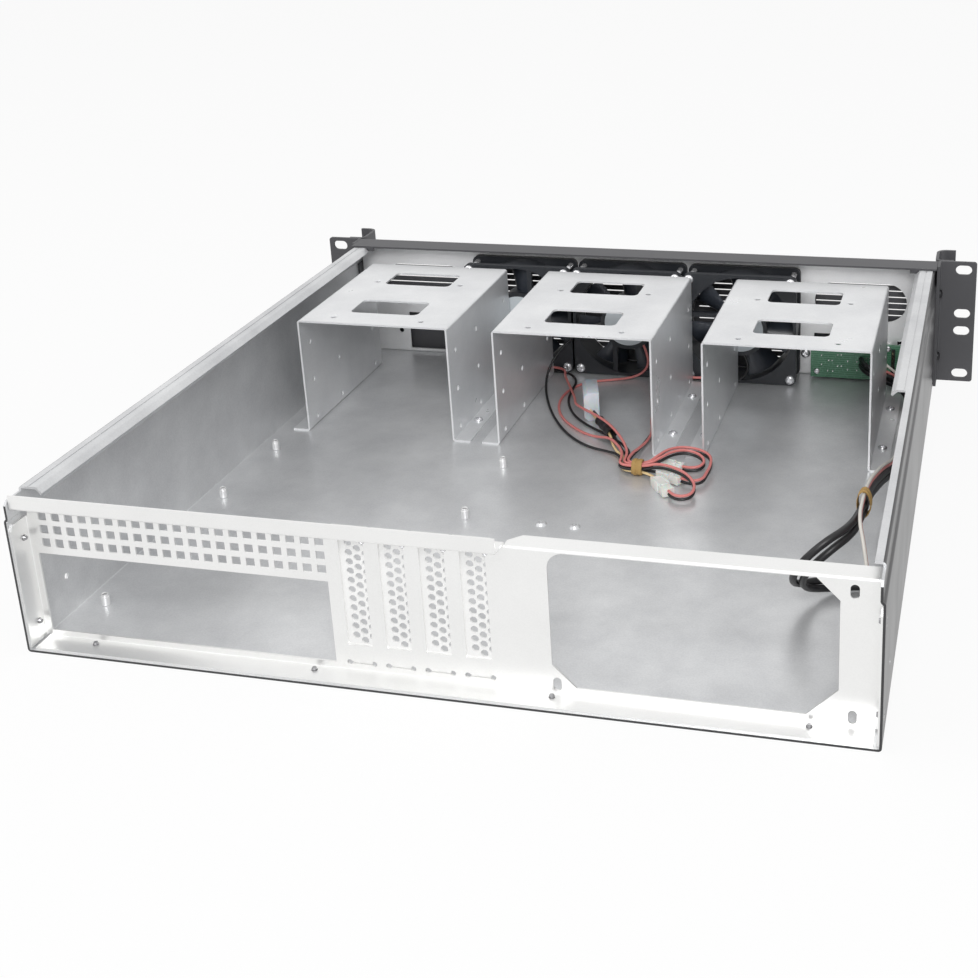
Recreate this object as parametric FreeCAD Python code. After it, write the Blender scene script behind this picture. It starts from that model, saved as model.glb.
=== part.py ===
"""Empty two-unit rack server case with its lid off.

X runs across the case and the front faces -Y, so right is +X as seen from the front. Z is up.
The origin is on the ground under the middle of the case, handles included.
A length along the case is kept as a "back" value: how far the thing lies in front of the rear edge.
"""
import FreeCAD, Part
import math
import os

UP = FreeCAD.Vector(0, 0, 1)
DOWN = FreeCAD.Vector(0, 0, -1)
TO_REAR = FreeCAD.Vector(0, 1, 0)
TO_FRONT = FreeCAD.Vector(0, -1, 0)
TO_RIGHT = FreeCAD.Vector(1, 0, 0)
TO_LEFT = FreeCAD.Vector(-1, 0, 0)
SIDES = (1, -1)

# Tray: one folded sheet with a floor, two stepped walls and a rail along each wall
case_width = 430.0
case_length = 450.0
tray_sheet = 1.2
bend_radius = 0.6
wall_step_height = 73.8
wall_inset = 1.3
rail_height = 87.0
rail_width = 10.0
rail_lip = 3.0
rail_start = 13.6
rail_end_gap = 1.0
rail_groove_inset = 5.1
rail_groove_width = 0.8
rail_groove_depth = 0.3
short_rail_width = 5.0
short_rail_end = 211.0
wall_end_height = 84.5
wall_corner_chamfer = 2.2
wall_hole_back = 38.5
wall_hole_height = 22.7
wall_hole_radius = 1.75
boss_spots = (-3.8, -24.2)
boss_back = 181.5
boss_height = 1.5
boss_radius = 3.6
boss_top_radius = 2.4
boss_hole_radius = 1.5

# Rear panel: folded sheet, set in from the rear edge, with a ledge for the slot covers
panel_sheet = 1.0
panel_recess = 13.9
panel_end_gap = 1.0
panel_rim_gap = 0.2
panel_corner_cut = 2.8
side_flange_height = 70.5
side_flange_corner = 3.0
ledge_height = 80.0
ledge_reach = 12.1
upstand_height = 7.3
ledge_low_margin = 1.92
ledge_high_inset = 3.0
top_flange_height = 78.0
top_flange_reach = 10.6
top_flange_bevel = 6.0
flange_screw_setback = 9.9
flange_screw_heights = (12.6, 60.2)
flange_screw_spots = (60.7, 181.8)

# Square vent above the port aperture, counted from its +X edge
vent_inset = 9.2
vent_top = 73.4
vent_square = 4.6
vent_pitch_across = 7.53
vent_pitch_down = 7.4
vent_columns = 21
vent_rows = 3

# Port aperture of the mainboard, a standard opening
port_inset = 5.9
port_width = 158.75
port_bottom = 5.45
port_height = 44.45

# Expansion slots, at the standard pitch, and their perforated covers
slot_count = 4
slot_pitch = 20.32
slot_inset = 171.8
slot_width = 12.9
slot_bottom = 16.2
slot_top = 73.2
tongue_slot_height = 6.3
tongue_slot_width = 12.8
tongue_slot_opening = 1.2
tongue_slot_end_radius = 1.4
cover_sheet = 1.0
cover_width = 18.4
cover_bottom = 4.0
cover_tongue_width = 10.0
cover_tongue_top = 14.0
cover_tab_gap = 0.8
cover_screw_offset = 8.7
cover_screw_setback = 8.2
cover_notch_width = 3.8
cover_hole_radius = 1.95
cover_hole_sides = 8
cover_hole_pitch = 5.0
cover_hole_column_pitch = 4.33
cover_hole_inset = 4.65
cover_hole_first_drop = 1.9
cover_hole_rows = 11
cover_hole_columns = 3

# Power supply cut-out and its screw slots
supply_inset = 20.7
supply_width = 134.0
supply_bottom = 5.6
supply_corner_radius = 8.0
supply_top_chamfer = 10.6
supply_near_chamfer = 11.6
supply_far_chamfer = 14.6
supply_slot_margin = 2.3
supply_slot_span = 138.0
supply_slot_height = 6.9
supply_slot_rise = 64.0
supply_slot_width = 4.1
supply_slot_length = 7.0

# Small screws and screw clearances
screw_radius = 1.5
screw_clearance = 0.1
pan_head_radius = 3.0
pan_head_height = 1.9
pan_crown = 0.6
flat_head_radius = 2.8
flat_screw_length = 3.6
cover_screw_length = 5.5

# Mainboard standoffs, on the standard hole pattern
standoff_radius = 2.4
standoff_height = 6.5
standoff_bore_radius = 1.3
standoff_bore_depth = 5.0
standoff_spigot_radius = 1.8
board_inset = 14.8
board_back = 26.1
board_column = 157.48
board_rows = (22.86, 154.94, 227.33)

# Drive brackets: inverted channels screwed to the floor
bracket_sheet = 1.2
bracket_width = 104.8
bracket_height = 80.5
bracket_fan_gap = 4.9
bracket_length = 127.6
bracket_foot = 11.0
bracket_spots = (-132.0, 4.3, 139.4)
bracket_window_width = 48.0
bracket_window_length = 26.5
bracket_window_radius = 4.0
bracket_window_starts = (21.5, 82.5)
bracket_hole_radius = 1.8
bracket_top_hole_span = 61.72
bracket_top_hole_starts = (11.3, 87.9)
bracket_dimple_radius = 2.9
bracket_dimple_depth = 0.5
bracket_wall_hole_starts = (13.5, 55.11, 115.11)
bracket_wall_hole_heights = (7.0, 34.0, 61.0)
bracket_foot_screw_starts = (34.0, 99.0)
bracket_foot_screw_inset = 5.2

# Fans: three 80 mm fans side by side behind the inner front panel
fan_count = 3
fan_size = 80.0
fan_depth = 25.0
fan_pitch = 81.6
fan_row_x = 0.5
fan_lift = 0.4
fan_flange = 4.2
fan_corner_radius = 4.5
fan_bore_radius = 38.0
fan_barrel_radius = 39.6
fan_hole_span = 71.5
fan_hole_radius = 2.2
fan_screw_radius = 1.9
fan_screw_head_radius = 3.4
fan_screw_head_height = 2.2
fan_screw_tail = 2.6
fan_strut_count = 4
fan_strut_width = 3.4
fan_strut_depth = 3.0
fan_strut_offset = 8.0
fan_hub_radius = 19.5
fan_hub_plate = 2.6
fan_hub_sink = 0.6
fan_bearing_radius = 4.2
fan_bearing_length = 12.0
fan_shaft_radius = 1.5
fan_shaft_clearance = 0.05
rotor_gap = 0.7
rotor_cup_radius = 18.5
rotor_cup_wall = 1.6
rotor_front_gap = 2.0
rotor_tip_gap = 0.9
blade_count = 7
blade_root_chord = 16.0
blade_tip_chord = 27.0
blade_root_pitch = 48.0
blade_tip_pitch = 30.0
blade_camber = 2.4
blade_thickness = 1.3
blade_inset = 1.0

# Inner front panel, which carries the fans
inner_sheet = 1.0
inner_side_gap = 0.3
inner_top_gap = 0.2
inner_flange = 6.0
inner_vent_low = 43.8
inner_vent_height = 28.1
inner_setback = 6.8
inner_vent_inset = 20.0
inner_vent_length = 64.0
bay_inset = 36.8
bay_length = 47.5
bay_low = 4.0
bay_height = 29.2
locating_hole_inset = 29.7
locating_hole_height = 18.1
locating_hole_radius = 1.85
panel_screw_inset = 90.2
panel_screw_height = 17.3
panel_screw_head_radius = 3.4
panel_screw_length = 4.0

# Front panel with its folded lip, air slits and holes for the controls
front_sheet = 1.2
front_height = 88.0
front_side_gap = 0.2
front_corner_cut = 3.0
front_lip = 20.2
front_flange_depth = 13.0
front_flange_low = 4.0
front_flange_high = 72.0
front_tab_inset = 15.0
front_tab_width = 6.0
front_tab_drop = 2.4
slit_height = 1.0
slit_pitch = 4.5
fan_slit_length = 70.0
fan_slit_low = 10.8
fan_slit_rows = 15
side_slit_rows = 6

# Rack ears and their folded handles
ear_reach = 26.3
ear_sheet = 2.0
ear_flange_depth = 13.0
ear_corner_radius = 2.0
rack_slot_inset = 8.74
rack_slot_rises = (-38.1, -6.35, 6.35, 38.1)
rack_slot_length = 11.0
rack_slot_height = 6.8
ear_screw_setback = 5.0
ear_screw_heights = (20.0, 66.0)
handle_sheet = 2.0
handle_fold_radius = 2.0
handle_tip_radius = 5.0
handle_overhang = 2.0
handle_foot = 12.5
handle_tip = 13.0
handle_reach = 26.0

# Control board and port board behind the inner front panel
board_sheet = 1.6
board_setback = 14.0
board_low = 2.6
board_height = 26.8
control_board_inset = 37.0
control_board_length = 48.6
port_board_inset = 16.4
port_board_length = 18.0
board_screw_inset = 4.4
port_screw_inset = 2.8
spacer_radius = 2.3
board_screw_head_radius = 2.2
board_screw_head_height = 1.4
board_screw_depth = 4.0
board_screw_radius = 1.2
header_pin_count = 8
header_pin_pitch = 2.54
header_pin_side = 0.64
header_pin_length = 3.0
header_body = 2.5
header_inset = 27.8
header_height = 16.3

# Front controls
power_button_inset = 73.0
reset_button_inset = 63.0
control_height = 17.0
power_button_radius = 4.0
reset_button_radius = 2.2
button_clearance = 0.3
button_proud = 1.6
button_travel = 1.0
button_collar = 1.0
button_collar_height = 1.2
button_stem_radius = 1.2
switch_side = 6.0
switch_height = 3.6
switch_plunger_radius = 1.7
switch_plunger_height = 0.7
button_switch_gap = 0.3
lamp_insets = (54.0, 49.0, 44.0)
lamp_radius = 1.4
lamp_clearance = 0.1
lamp_proud = 0.6
port_opening_width = 5.8
port_opening_height = 12.4
port_shell_inset = 21.6
port_shell_drop = 6.9
port_shell_gap = 0.4
port_shell_wall = 0.4
port_tongue = 1.8
port_tongue_inset = 2.0
port_margin = 1.2

# Wiring: plugs and ties
wire_diameter = 1.8
cable_diameter = 4.0
bend_share = 0.45
fan_plug_width = 8.5
fan_plug_height = 6.0
fan_plug_middle = 4.4
fan_plug_step = 0.8
fan_plug_shell_share = 0.6
fan_plug_ends = [((-59.0, 244.8), (-70.0, 228.7)), ((-58.8, 255.27), (-73.9, 247.4)),
                 ((-57.0, 266.9), (-71.3, 263.8))]
connector_start = (13.5, 359.0, 11.4)
connector_end = (5.5, 334.0, 11.4)
connector_width = 10.4
connector_height = 20.0
connector_chamfer = 2.5
connector_pin_radius = 2.2
connector_pin_pitch = 4.7
connector_pin_count = 4
connector_pin_length = 6.0
shrink_start = (-3.0, 322.0, 7.3)
shrink_end = (-16.5, 301.5, 7.3)
shrink_radius = 3.5
shrink_wall = 0.6
tie_centre = (-44.4, 256.8, 6.6)
tie_radius = 5.2
tie_wall = 0.8
tie_length = 6.5
bundle_tie_start = (-193.45, 145.4, 51.05)
bundle_tie_end = (-193.2, 137.4, 51.93)
bundle_tie_radius = 7.6
bundle_tie_wall = 1.0
cable_plug_start = (-196.55, 138.51, 6.05)
cable_plug_end = (-210.2, 141.11, 6.05)
cable_plug_width = 11.0
cable_plug_height = 9.3
wire_plug_spots = ((-201.0, 86.5), (-201.0, 79.5))
wire_plug_side = 6.0
wire_plug_low = 1.4
wire_plug_top = 14.0

# Wiring: centre lines from the outlet to the far end, as x, back and height
fan_lead_1_red_route = [
    (-78.16, 420.1, 22.05), (-76, 417.6, 16.5), (-71.5, 415.9, 9.5), (-62.5, 415.5, 5.2),
    (-53, 415.1, 4.7), (-42.5, 414.5, 4.7), (-37, 404.5, 4.7), (-35.6, 390, 4.7), (-34.7, 372, 4.7),
    (-33.2, 354, 4.7), (-35.3, 335, 4.7), (-40, 318, 4.7), (-41, 302, 4.9), (-39, 287, 6.2),
    (-36.5, 272.5, 8), (-36.6, 259, 8.05), (-50, 259, 8.3), (-55.6, 266.5, 11.1),
    (-59.4, 275.6, 11.1), (-67, 282.6, 10.7), (-78.5, 283.2, 9.5), (-86.8, 277.5, 8.3),
    (-88.6, 267.5, 7.1), (-87.8, 257, 6.2), (-86.96, 247.82, 5.8), (-80.55, 243.93, 5.75),
    (-73.94, 247.38, 5.75)]
fan_lead_1_black_route = [
    (-84.04, 420.1, 22.07), (-87.5, 417.6, 16.5), (-86.5, 415.9, 9), (-79, 415.6, 3.4),
    (-66, 415.5, 2.4), (-54, 415.1, 2.4), (-43.5, 414.5, 2.4), (-39.2, 404, 2.4), (-38.4, 389, 2.4),
    (-38.8, 370, 2.4), (-40.2, 350, 2.4), (-40.6, 330, 2.4), (-39, 314, 2.4), (-38, 300, 2.6),
    (-37.2, 286, 3.8), (-36.5, 272.5, 5.7), (-36.6, 259, 5.75), (-50, 259, 6), (-55.6, 266.5, 8.8),
    (-59.4, 275.6, 8.8), (-67, 282.6, 8.4), (-78.5, 283.2, 7.2), (-86.8, 277.5, 6),
    (-88.6, 267.5, 4.8), (-87.8, 257, 3.9), (-86.96, 247.82, 3.5), (-80.55, 243.93, 3.45),
    (-73.94, 247.38, 3.45)]
fan_lead_2_red_route = [
    (-10.83, 420.1, 25.42), (-14.2, 417.6, 19.5), (-15.2, 415.9, 12), (-10.5, 415, 5.2),
    (-2, 411.8, 2.6), (9, 407, 2.4), (20, 403, 2.4), (29, 396.5, 2.4), (34.5, 386, 2.4),
    (37, 371, 2.4), (35.6, 356, 2.4), (31, 342, 2.4), (23.5, 329, 2.4), (13.5, 318, 2.4),
    (3.5, 309.5, 2.5), (-6.5, 302.5, 4), (-17, 294, 8.3), (-27, 281, 8.05), (-31.8, 269, 8.05),
    (-32.2, 254.6, 8.05), (-49, 254.6, 8.4), (-58, 253.9, 11.3), (-69, 250.2, 11.3),
    (-78.6, 243.8, 10.5), (-84.8, 236.2, 7.9), (-85, 226.8, 6.2), (-80.1, 222.5, 5.8),
    (-73.67, 223.33, 5.75), (-70.03, 228.66, 5.75)]
fan_lead_2_black_route = [
    (20.22, 420.1, 40.49), (26, 418, 39.3), (33, 411.5, 36.5), (42, 402.5, 30.5), (49.5, 394, 21),
    (52.8, 386.5, 11), (51, 377, 3.6), (46, 363.5, 2.4), (39.5, 348, 2.4), (31, 331, 2.4),
    (20.5, 314, 2.4), (8.5, 299.5, 2.4), (-4.5, 289.5, 2.4), (-16.5, 283.5, 3.4),
    (-26.5, 276.5, 5.2), (-31.4, 267.5, 5.75), (-32.2, 254.6, 5.75), (-49, 254.6, 6.1),
    (-58, 253.9, 9), (-69, 250.2, 9), (-78.6, 243.8, 8.2), (-84.8, 236.2, 5.6), (-85, 226.8, 3.9),
    (-80.1, 222.5, 3.5), (-73.67, 223.33, 3.45), (-70.03, 228.66, 3.45)]
fan_lead_3_red_route = [
    (77.44, 420.1, 22.4), (74, 417.6, 17), (70, 415.9, 9.5), (64, 415.8, 6), (54, 415.8, 5.8),
    (45.5, 409.5, 6.9), (42.5, 397.5, 7.2), (37, 386, 7), (30.5, 372, 7), (23.5, 356, 8),
    (18.6, 339, 10.8), (8.2, 326, 12.9), (-4, 316.2, 12.8), (-14, 305.5, 12.7), (-22.8, 294.5, 11),
    (-29.5, 284, 9.2), (-34.4, 272, 8.1), (-34.4, 256.8, 8.05), (-51, 256.8, 8.8),
    (-58, 263.4, 11.3), (-62.5, 272.8, 11.1), (-69.6, 278.4, 10.7), (-78, 278.3, 9.1),
    (-83.6, 272.9, 7.7), (-83.6, 266.6, 6.5), (-78.14, 262.32, 5.75), (-71.35, 263.79, 5.75)]
fan_lead_3_black_route = [
    (85.04, 420.1, 22.08), (87, 417.6, 15), (82, 415.9, 6.5), (72, 415.6, 2.6), (61.5, 415.7, 2.4),
    (50.5, 415.2, 3.2), (40.5, 407.5, 4.6), (32.5, 394.5, 4.7), (32.6, 380, 3.4), (31.5, 366, 2.4),
    (26, 350.5, 2.4), (18.6, 337.5, 2.4), (9.5, 327, 2.4), (-0.5, 318.5, 2.4), (-11, 310.5, 2.4),
    (-20.5, 301, 2.8), (-27.5, 291, 4.4), (-33.2, 281, 5.75), (-34.6, 271, 5.9),
    (-34.4, 256.8, 5.75), (-51, 256.8, 6.5), (-58, 263.4, 9), (-62.5, 272.8, 8.8),
    (-69.6, 278.4, 8.4), (-78, 278.3, 6.8), (-83.6, 272.9, 5.4), (-83.6, 266.6, 4.2),
    (-78.14, 262.32, 3.45), (-71.35, 263.79, 3.45)]
supply_lead_yellow_route = [
    (6.42, 333.38, 9.35), (-0.9, 323.1, 7.2), (-8.3, 311.9, 7.6), (-15.7, 300.7, 7.1),
    (-18.9, 292.4, 5.6), (-23.5, 283.5, 4.2), (-30, 277, 3.9), (-33.2, 268.6, 3.9),
    (-33.3, 255.7, 3.9), (-51.55, 255.7, 4.2), (-58.94, 244.88, 4.6)]
supply_lead_black_route = [
    (4.2, 334, 8.36), (-2.9, 324.6, 7.2), (-10.2, 313.2, 7.6), (-17.6, 302, 7.1),
    (-22.2, 293.6, 5.6), (-27.5, 284.2, 3.9), (-33, 277.5, 3.9), (-35.4, 270.2, 3.9),
    (-35.5, 257.9, 3.9), (-49, 257.9, 4.2), (-58.53, 255.41, 4.6)]
front_cable_1_route = [
    (-165, 435.6, 13.5), (-166.5, 427, 13.2), (-176.5, 419.5, 11.5), (-191, 414, 7.8),
    (-200.5, 402, 4.8), (-202.5, 383, 4), (-200.8, 352, 4), (-202.5, 318, 4), (-201.2, 287, 6.5),
    (-200, 257, 14), (-197.5, 227, 25), (-196.5, 196, 36), (-194, 163, 45), (-193, 131, 48.5),
    (-190.5, 111.5, 48.5), (-181, 98.5, 45), (-170.5, 97.5, 34), (-165.5, 106, 21.5),
    (-167, 119, 10.5), (-174.5, 130.5, 5), (-186, 136.5, 3.9), (-196.5, 138.5, 3.9)]
front_cable_2_route = [
    (-165, 435.6, 17.8), (-166.5, 427, 17.5), (-176.5, 419.5, 15.8), (-191, 414, 12.1),
    (-200.5, 402, 9.1), (-202.5, 383, 8.3), (-200.8, 352, 8.3), (-202.5, 318, 8.3),
    (-201.2, 287, 10.8), (-200, 257, 18.3), (-197.5, 227, 29.3), (-196.5, 196, 40.3),
    (-194, 163, 49.3), (-193, 131, 52.8), (-189.5, 110.5, 53), (-177.5, 95.8, 50),
    (-165.3, 94.5, 37), (-160.6, 104.5, 22.5), (-162.5, 119, 12.5), (-171.5, 131.5, 9),
    (-186, 136.5, 8.2), (-196.5, 138.5, 8.2)]
front_wire_red_route = [
    (-172, 435.8, 20), (-174, 427.5, 19.5), (-176.5, 419.5, 19), (-191, 414, 15.3),
    (-200.5, 402, 12.3), (-202.5, 383, 11.5), (-200.8, 352, 11.5), (-202.5, 318, 11.5),
    (-201.2, 287, 14), (-200, 257, 21.5), (-197.5, 227, 32.5), (-196.5, 196, 43.5),
    (-194, 163, 52.5), (-193, 131, 56), (-193.5, 113, 55.5), (-197, 99, 50), (-200, 90.5, 39),
    (-201, 86.5, 26.5), (-201, 86.5, 14)]
front_wire_white_route = [
    (-176.5, 435.85, 23), (-178.3, 429.5, 22.6), (-182.5, 421.7, 20.7), (-191, 414, 17.4),
    (-200.5, 402, 14.4), (-202.5, 383, 13.6), (-200.8, 352, 13.6), (-202.5, 318, 13.6),
    (-201.2, 287, 16.1), (-200, 257, 23.6), (-197.5, 227, 34.6), (-196.5, 196, 45.6),
    (-194, 163, 54.6), (-193, 131, 58.1), (-193.5, 109, 57.8), (-197.5, 94, 51.5),
    (-200.6, 84, 39.5), (-201, 79.5, 27), (-201, 79.5, 14)]

# Worked out from the sizes above
cut_margin = 6.0
overall_length = case_length + ear_sheet + handle_reach
rear_y = overall_length / 2
half_width = case_width / 2
inner_x = half_width - tray_sheet
upper_x = half_width - wall_inset
upper_inner_x = upper_x - tray_sheet
panel_back = panel_recess + panel_sheet
panel_side_x = inner_x
rim_x = upper_inner_x - panel_rim_gap
ledge_end_back = panel_back - ledge_reach
screw_hole_radius = screw_radius + screw_clearance
slot_cover_top = ledge_height + cover_sheet
ledge_high_x = half_width - ledge_high_inset
vent_x = half_width - vent_inset
port_x = half_width - port_inset
slot_x = half_width - slot_inset
ledge_low_x = slot_x - slot_count * slot_pitch - ledge_low_margin
supply_x = supply_inset + supply_width - half_width
supply_slot_x = supply_x - supply_slot_margin
board_x = half_width - board_inset
inner_back = case_length - inner_setback
fan_back = inner_back - fan_depth
bracket_end = fan_back - bracket_fan_gap
bracket_back = bracket_end - bracket_length
fan_middle = tray_sheet + fan_lift + fan_size / 2
fan_front = inner_back
inner_front = inner_back + inner_sheet
inner_vent_far = half_width - inner_vent_inset
inner_vent_near = inner_vent_far - inner_vent_length
bay_far = half_width - bay_inset
bay_near = bay_far - bay_length
locating_hole_x = half_width - locating_hole_inset
panel_screw_x = panel_screw_inset - half_width
front_tab_x = half_width - front_tab_inset
rack_width = case_width + 2 * ear_reach
rack_slot_span = rack_width - 2 * rack_slot_inset
control_board_far = half_width - control_board_inset
control_board_near = control_board_far - control_board_length
port_board_far = half_width - port_board_inset
port_board_near = port_board_far - port_board_length
header_x = half_width - header_inset
power_button_x = half_width - power_button_inset
reset_button_x = half_width - reset_button_inset
lamp_spots = [half_width - inset for inset in lamp_insets]
port_shell_x = half_width - port_shell_inset
front_back = case_length
front_face = case_length + front_sheet
front_rear = case_length + ear_sheet
lip_back = front_face - front_lip
inner_top = front_height - front_sheet - inner_top_gap
rail_end = lip_back - rail_end_gap
rack_middle = front_height / 2
board_rear = case_length - board_setback
board_front = board_rear + board_sheet
ear_screw_back = case_length - ear_screw_setback
ear_flange_x = half_width + ear_sheet


def at(x, back, height):
    """Point at x across, back from the rear edge and height above the ground."""
    return FreeCAD.Vector(x, rear_y - back, height)


def block(x_low, x_high, back_low, back_high, z_low, z_high):
    """Box between two limits on each of the three measures."""
    corner = at(x_low, back_high, z_low)
    return Part.makeBox(x_high - x_low, back_high - back_low, z_high - z_low, corner)


def side_block(side, x_near, x_far, *limits):
    """Box on the +X or the -X side, between two distances from the middle."""
    low, high = sorted((side * x_near, side * x_far))
    return block(low, high, *limits)


def rod(start, direction, radius, length):
    """Round bar from start along direction."""
    return Part.makeCylinder(radius, length, start, direction)


def cone(start, direction, start_radius, end_radius, length):
    """Tapered round bar from start along direction."""
    return Part.makeCone(start_radius, end_radius, length, start, direction)


def cut(shape, tools):
    """Shape with a list of tools taken away in one step."""
    return shape.cut(Part.makeCompound(tools))


def join(shapes):
    """One solid made of several that touch or overlap."""
    return shapes[0].fuse(shapes[1:]).removeSplitter()


def line(start, end):
    """Straight edge."""
    return Part.LineSegment(start, end).toShape()


def rounded_path(points, radii):
    """Edges of an open path whose inner corners are rounded by the radii."""
    edges = []
    start = points[0]
    for before, corner, after, radius in zip(points, points[1:], points[2:], radii):
        arriving = (corner - before).normalize()
        leaving = (after - corner).normalize()
        half_turn = arriving.getAngle(leaving) / 2
        reach = radius * math.tan(half_turn)
        inward = (leaving - arriving).normalize()
        first = corner - arriving * reach
        last = corner + leaving * reach
        middle = corner + inward * (radius / math.cos(half_turn) - radius)
        edges.append(line(start, first))
        edges.append(Part.Arc(first, middle, last).toShape())
        start = last
    edges.append(line(start, points[-1]))
    return edges


def rounded_plate(corners, radius, thickness):
    """Plate whose outline is a polygon with all its corners rounded alike."""
    middle = (corners[0] + corners[-1]) * 0.5
    points = [middle] + list(corners) + [middle]
    outline = Part.Wire(rounded_path(points, [radius] * len(corners)))
    return Part.Face(outline).extrude(thickness)


def flat_plate(corners, thickness):
    """Plate whose outline is a polygon with sharp corners."""
    return Part.Face(Part.makePolygon(list(corners) + [corners[0]])).extrude(thickness)


def slot_bar(centre, along, across, length, width, depth):
    """Bar with a slot-shaped section: a straight stretch with two half-round ends."""
    straight = along * (length / 2 - width / 2)
    side = across * (width / 2)
    tip = along * (length / 2)
    outline = Part.Wire([
        line(centre - straight - side, centre + straight - side),
        Part.Arc(centre + straight - side, centre + tip, centre + straight + side).toShape(),
        line(centre + straight + side, centre - straight + side),
        Part.Arc(centre - straight + side, centre - tip, centre - straight - side).toShape(),
    ])
    return Part.Face(outline).extrude(depth)


def shifted_path(points, normal, distance):
    """Path moved by distance to its left, where left is normal turned onto the path."""
    sides = [normal.cross((b - a).normalize()) for a, b in zip(points, points[1:])]
    moved = [points[0] + sides[0] * distance]
    for corner, before, after in zip(points[1:], sides, sides[1:]):
        moved.append(corner + (before + after) * (distance / (1 + before.dot(after))))
    moved.append(points[-1] + sides[-1] * distance)
    return moved


def folded_sheet(corners, thickness, normal, width, inner_radii=None):
    """Sheet folded along the corners of one face, with its thickness to the left of that path."""
    radii = inner_radii or [bend_radius] * (len(corners) - 2)
    near_radii = []
    far_radii = []
    for before, corner, after, radius in zip(corners, corners[1:], corners[2:], radii):
        turns_left = normal.dot((corner - before).cross(after - corner)) > 0
        near_radii.append(radius + thickness if turns_left else radius)
        far_radii.append(radius if turns_left else radius + thickness)
    moved = shifted_path(corners, normal, thickness)
    near = rounded_path(corners, near_radii)
    far = rounded_path(moved, far_radii)
    outline = near + [line(corners[-1], moved[-1])] + far[::-1] + [line(moved[0], corners[0])]
    return Part.Face(Part.Wire(outline)).extrude(width)


def pan_screw(seat, direction, length, head_radius=pan_head_radius,
              head_height=pan_head_height, shank_radius=screw_radius):
    """Screw with a crowned pan head on its seat and its shank along direction."""
    rim = head_height * pan_crown
    top = seat - direction * rim
    head = rod(seat, direction * -1, head_radius, rim)
    crown = cone(top, direction * -1, head_radius, head_radius * pan_crown, head_height - rim)
    return join([head, crown, rod(seat, direction, shank_radius, length)])


def flat_screw(seat, direction, length):
    """Countersunk screw, flush with the tray's outer face."""
    head = cone(seat, direction, flat_head_radius, screw_radius, tray_sheet)
    return join([head, rod(seat, direction, screw_radius, length)])


def countersink(seat, direction):
    """Tool for the conical seat of a countersunk screw, right through the tray's sheet."""
    return cone(seat, direction, flat_head_radius + screw_clearance, screw_hole_radius, tray_sheet)


def flange_screw_seats():
    """Seats on the tray's outer face, and directions, of the screws that hold the rear panel."""
    seats = []
    for side in SIDES:
        for spot in flange_screw_spots:
            seats.append((at(side * spot, flange_screw_setback, 0), UP))
        for height in flange_screw_heights:
            inward = TO_LEFT * side
            seats.append((at(side * half_width, flange_screw_setback, height), inward))
    return seats


def ear_screw_seats():
    """Seats on the ears' side flanges, and directions, of the screws that hold the ears."""
    seats = []
    for side in SIDES:
        for height in ear_screw_heights:
            seats.append((at(side * ear_flange_x, ear_screw_back, height), TO_LEFT * side))
    return seats


def standoff_seats():
    """Points on the floor under the mainboard's standoffs."""
    first_column = [at(board_x, board_back + row, tray_sheet) for row in board_rows]
    second_column = [at(board_x - board_column, board_back + row, tray_sheet)
                     for row in (0.0,) + board_rows[1:]]
    return first_column + second_column


def bracket_screw_seats():
    """Points on the brackets' feet under the heads of the foot screws."""
    seats = []
    for spot in bracket_spots:
        for side in SIDES:
            x = spot + side * (bracket_width / 2 + bracket_foot_screw_inset)
            for start in bracket_foot_screw_starts:
                seats.append(at(x, bracket_back + start, tray_sheet + bracket_sheet))
    return seats


def fan_spots():
    """X of the middle of each fan."""
    first = fan_row_x - fan_pitch * (fan_count - 1) / 2
    return [first + fan_pitch * number for number in range(fan_count)]


def fan_hole_spots(fan_x, back):
    """Points on the axes of one fan's four holes, in the plane at back."""
    half = fan_hole_span / 2
    return [at(fan_x + side * half, back, fan_middle + rise * half)
            for side in SIDES for rise in SIDES]


def tray_holes():
    """Tools for every hole in the tray."""
    tools = [countersink(seat, direction) for seat, direction in flange_screw_seats()]
    for seat, direction in ear_screw_seats():
        tools.append(rod(seat, direction, screw_hole_radius, ear_sheet + tray_sheet + cut_margin))
    for side in SIDES:
        start = at(side * (half_width + cut_margin), wall_hole_back, wall_hole_height)
        tools.append(rod(start, TO_LEFT * side, wall_hole_radius, 2 * cut_margin))
    for seat in standoff_seats():
        radius = standoff_spigot_radius + screw_clearance
        tools.append(rod(seat, DOWN, radius, tray_sheet))
    for seat in bracket_screw_seats():
        tools.append(rod(seat, DOWN, screw_hole_radius, bracket_sheet + tray_sheet))
    return tools


def rail_cuts():
    """Tools that open the rails at both ends, narrow one of them and groove both."""
    lip_low = rail_height - rail_lip - tray_sheet - rail_groove_depth
    top = rail_height + cut_margin
    tools = []
    for back_low, back_high in ((-cut_margin, rail_start), (rail_end, case_length + cut_margin)):
        tools.append(block(-upper_inner_x, upper_inner_x, back_low, back_high, lip_low, top))
        tools.append(block(-half_width, half_width, back_low, back_high, wall_end_height, top))
    tools.append(block(short_rail_width - upper_x, 0, rail_start, short_rail_end, lip_low, top))
    groove_x = upper_x - rail_groove_inset
    for side, start in ((1, rail_start), (-1, short_rail_end)):
        tools.append(side_block(side, groove_x - rail_groove_width, groove_x, start, rail_end,
                                rail_height - rail_groove_depth, top))
    return tools


def wall_corner_cut():
    """Tool that bevels the rear top corner of both walls."""
    bevel = wall_corner_chamfer
    corners = [
        at(-half_width - cut_margin, -bevel, wall_end_height - 2 * bevel),
        at(-half_width - cut_margin, 2 * bevel, wall_end_height + bevel),
        at(-half_width - cut_margin, -bevel, wall_end_height + bevel),
    ]
    return flat_plate(corners, TO_RIGHT * (case_width + 2 * cut_margin))


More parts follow.
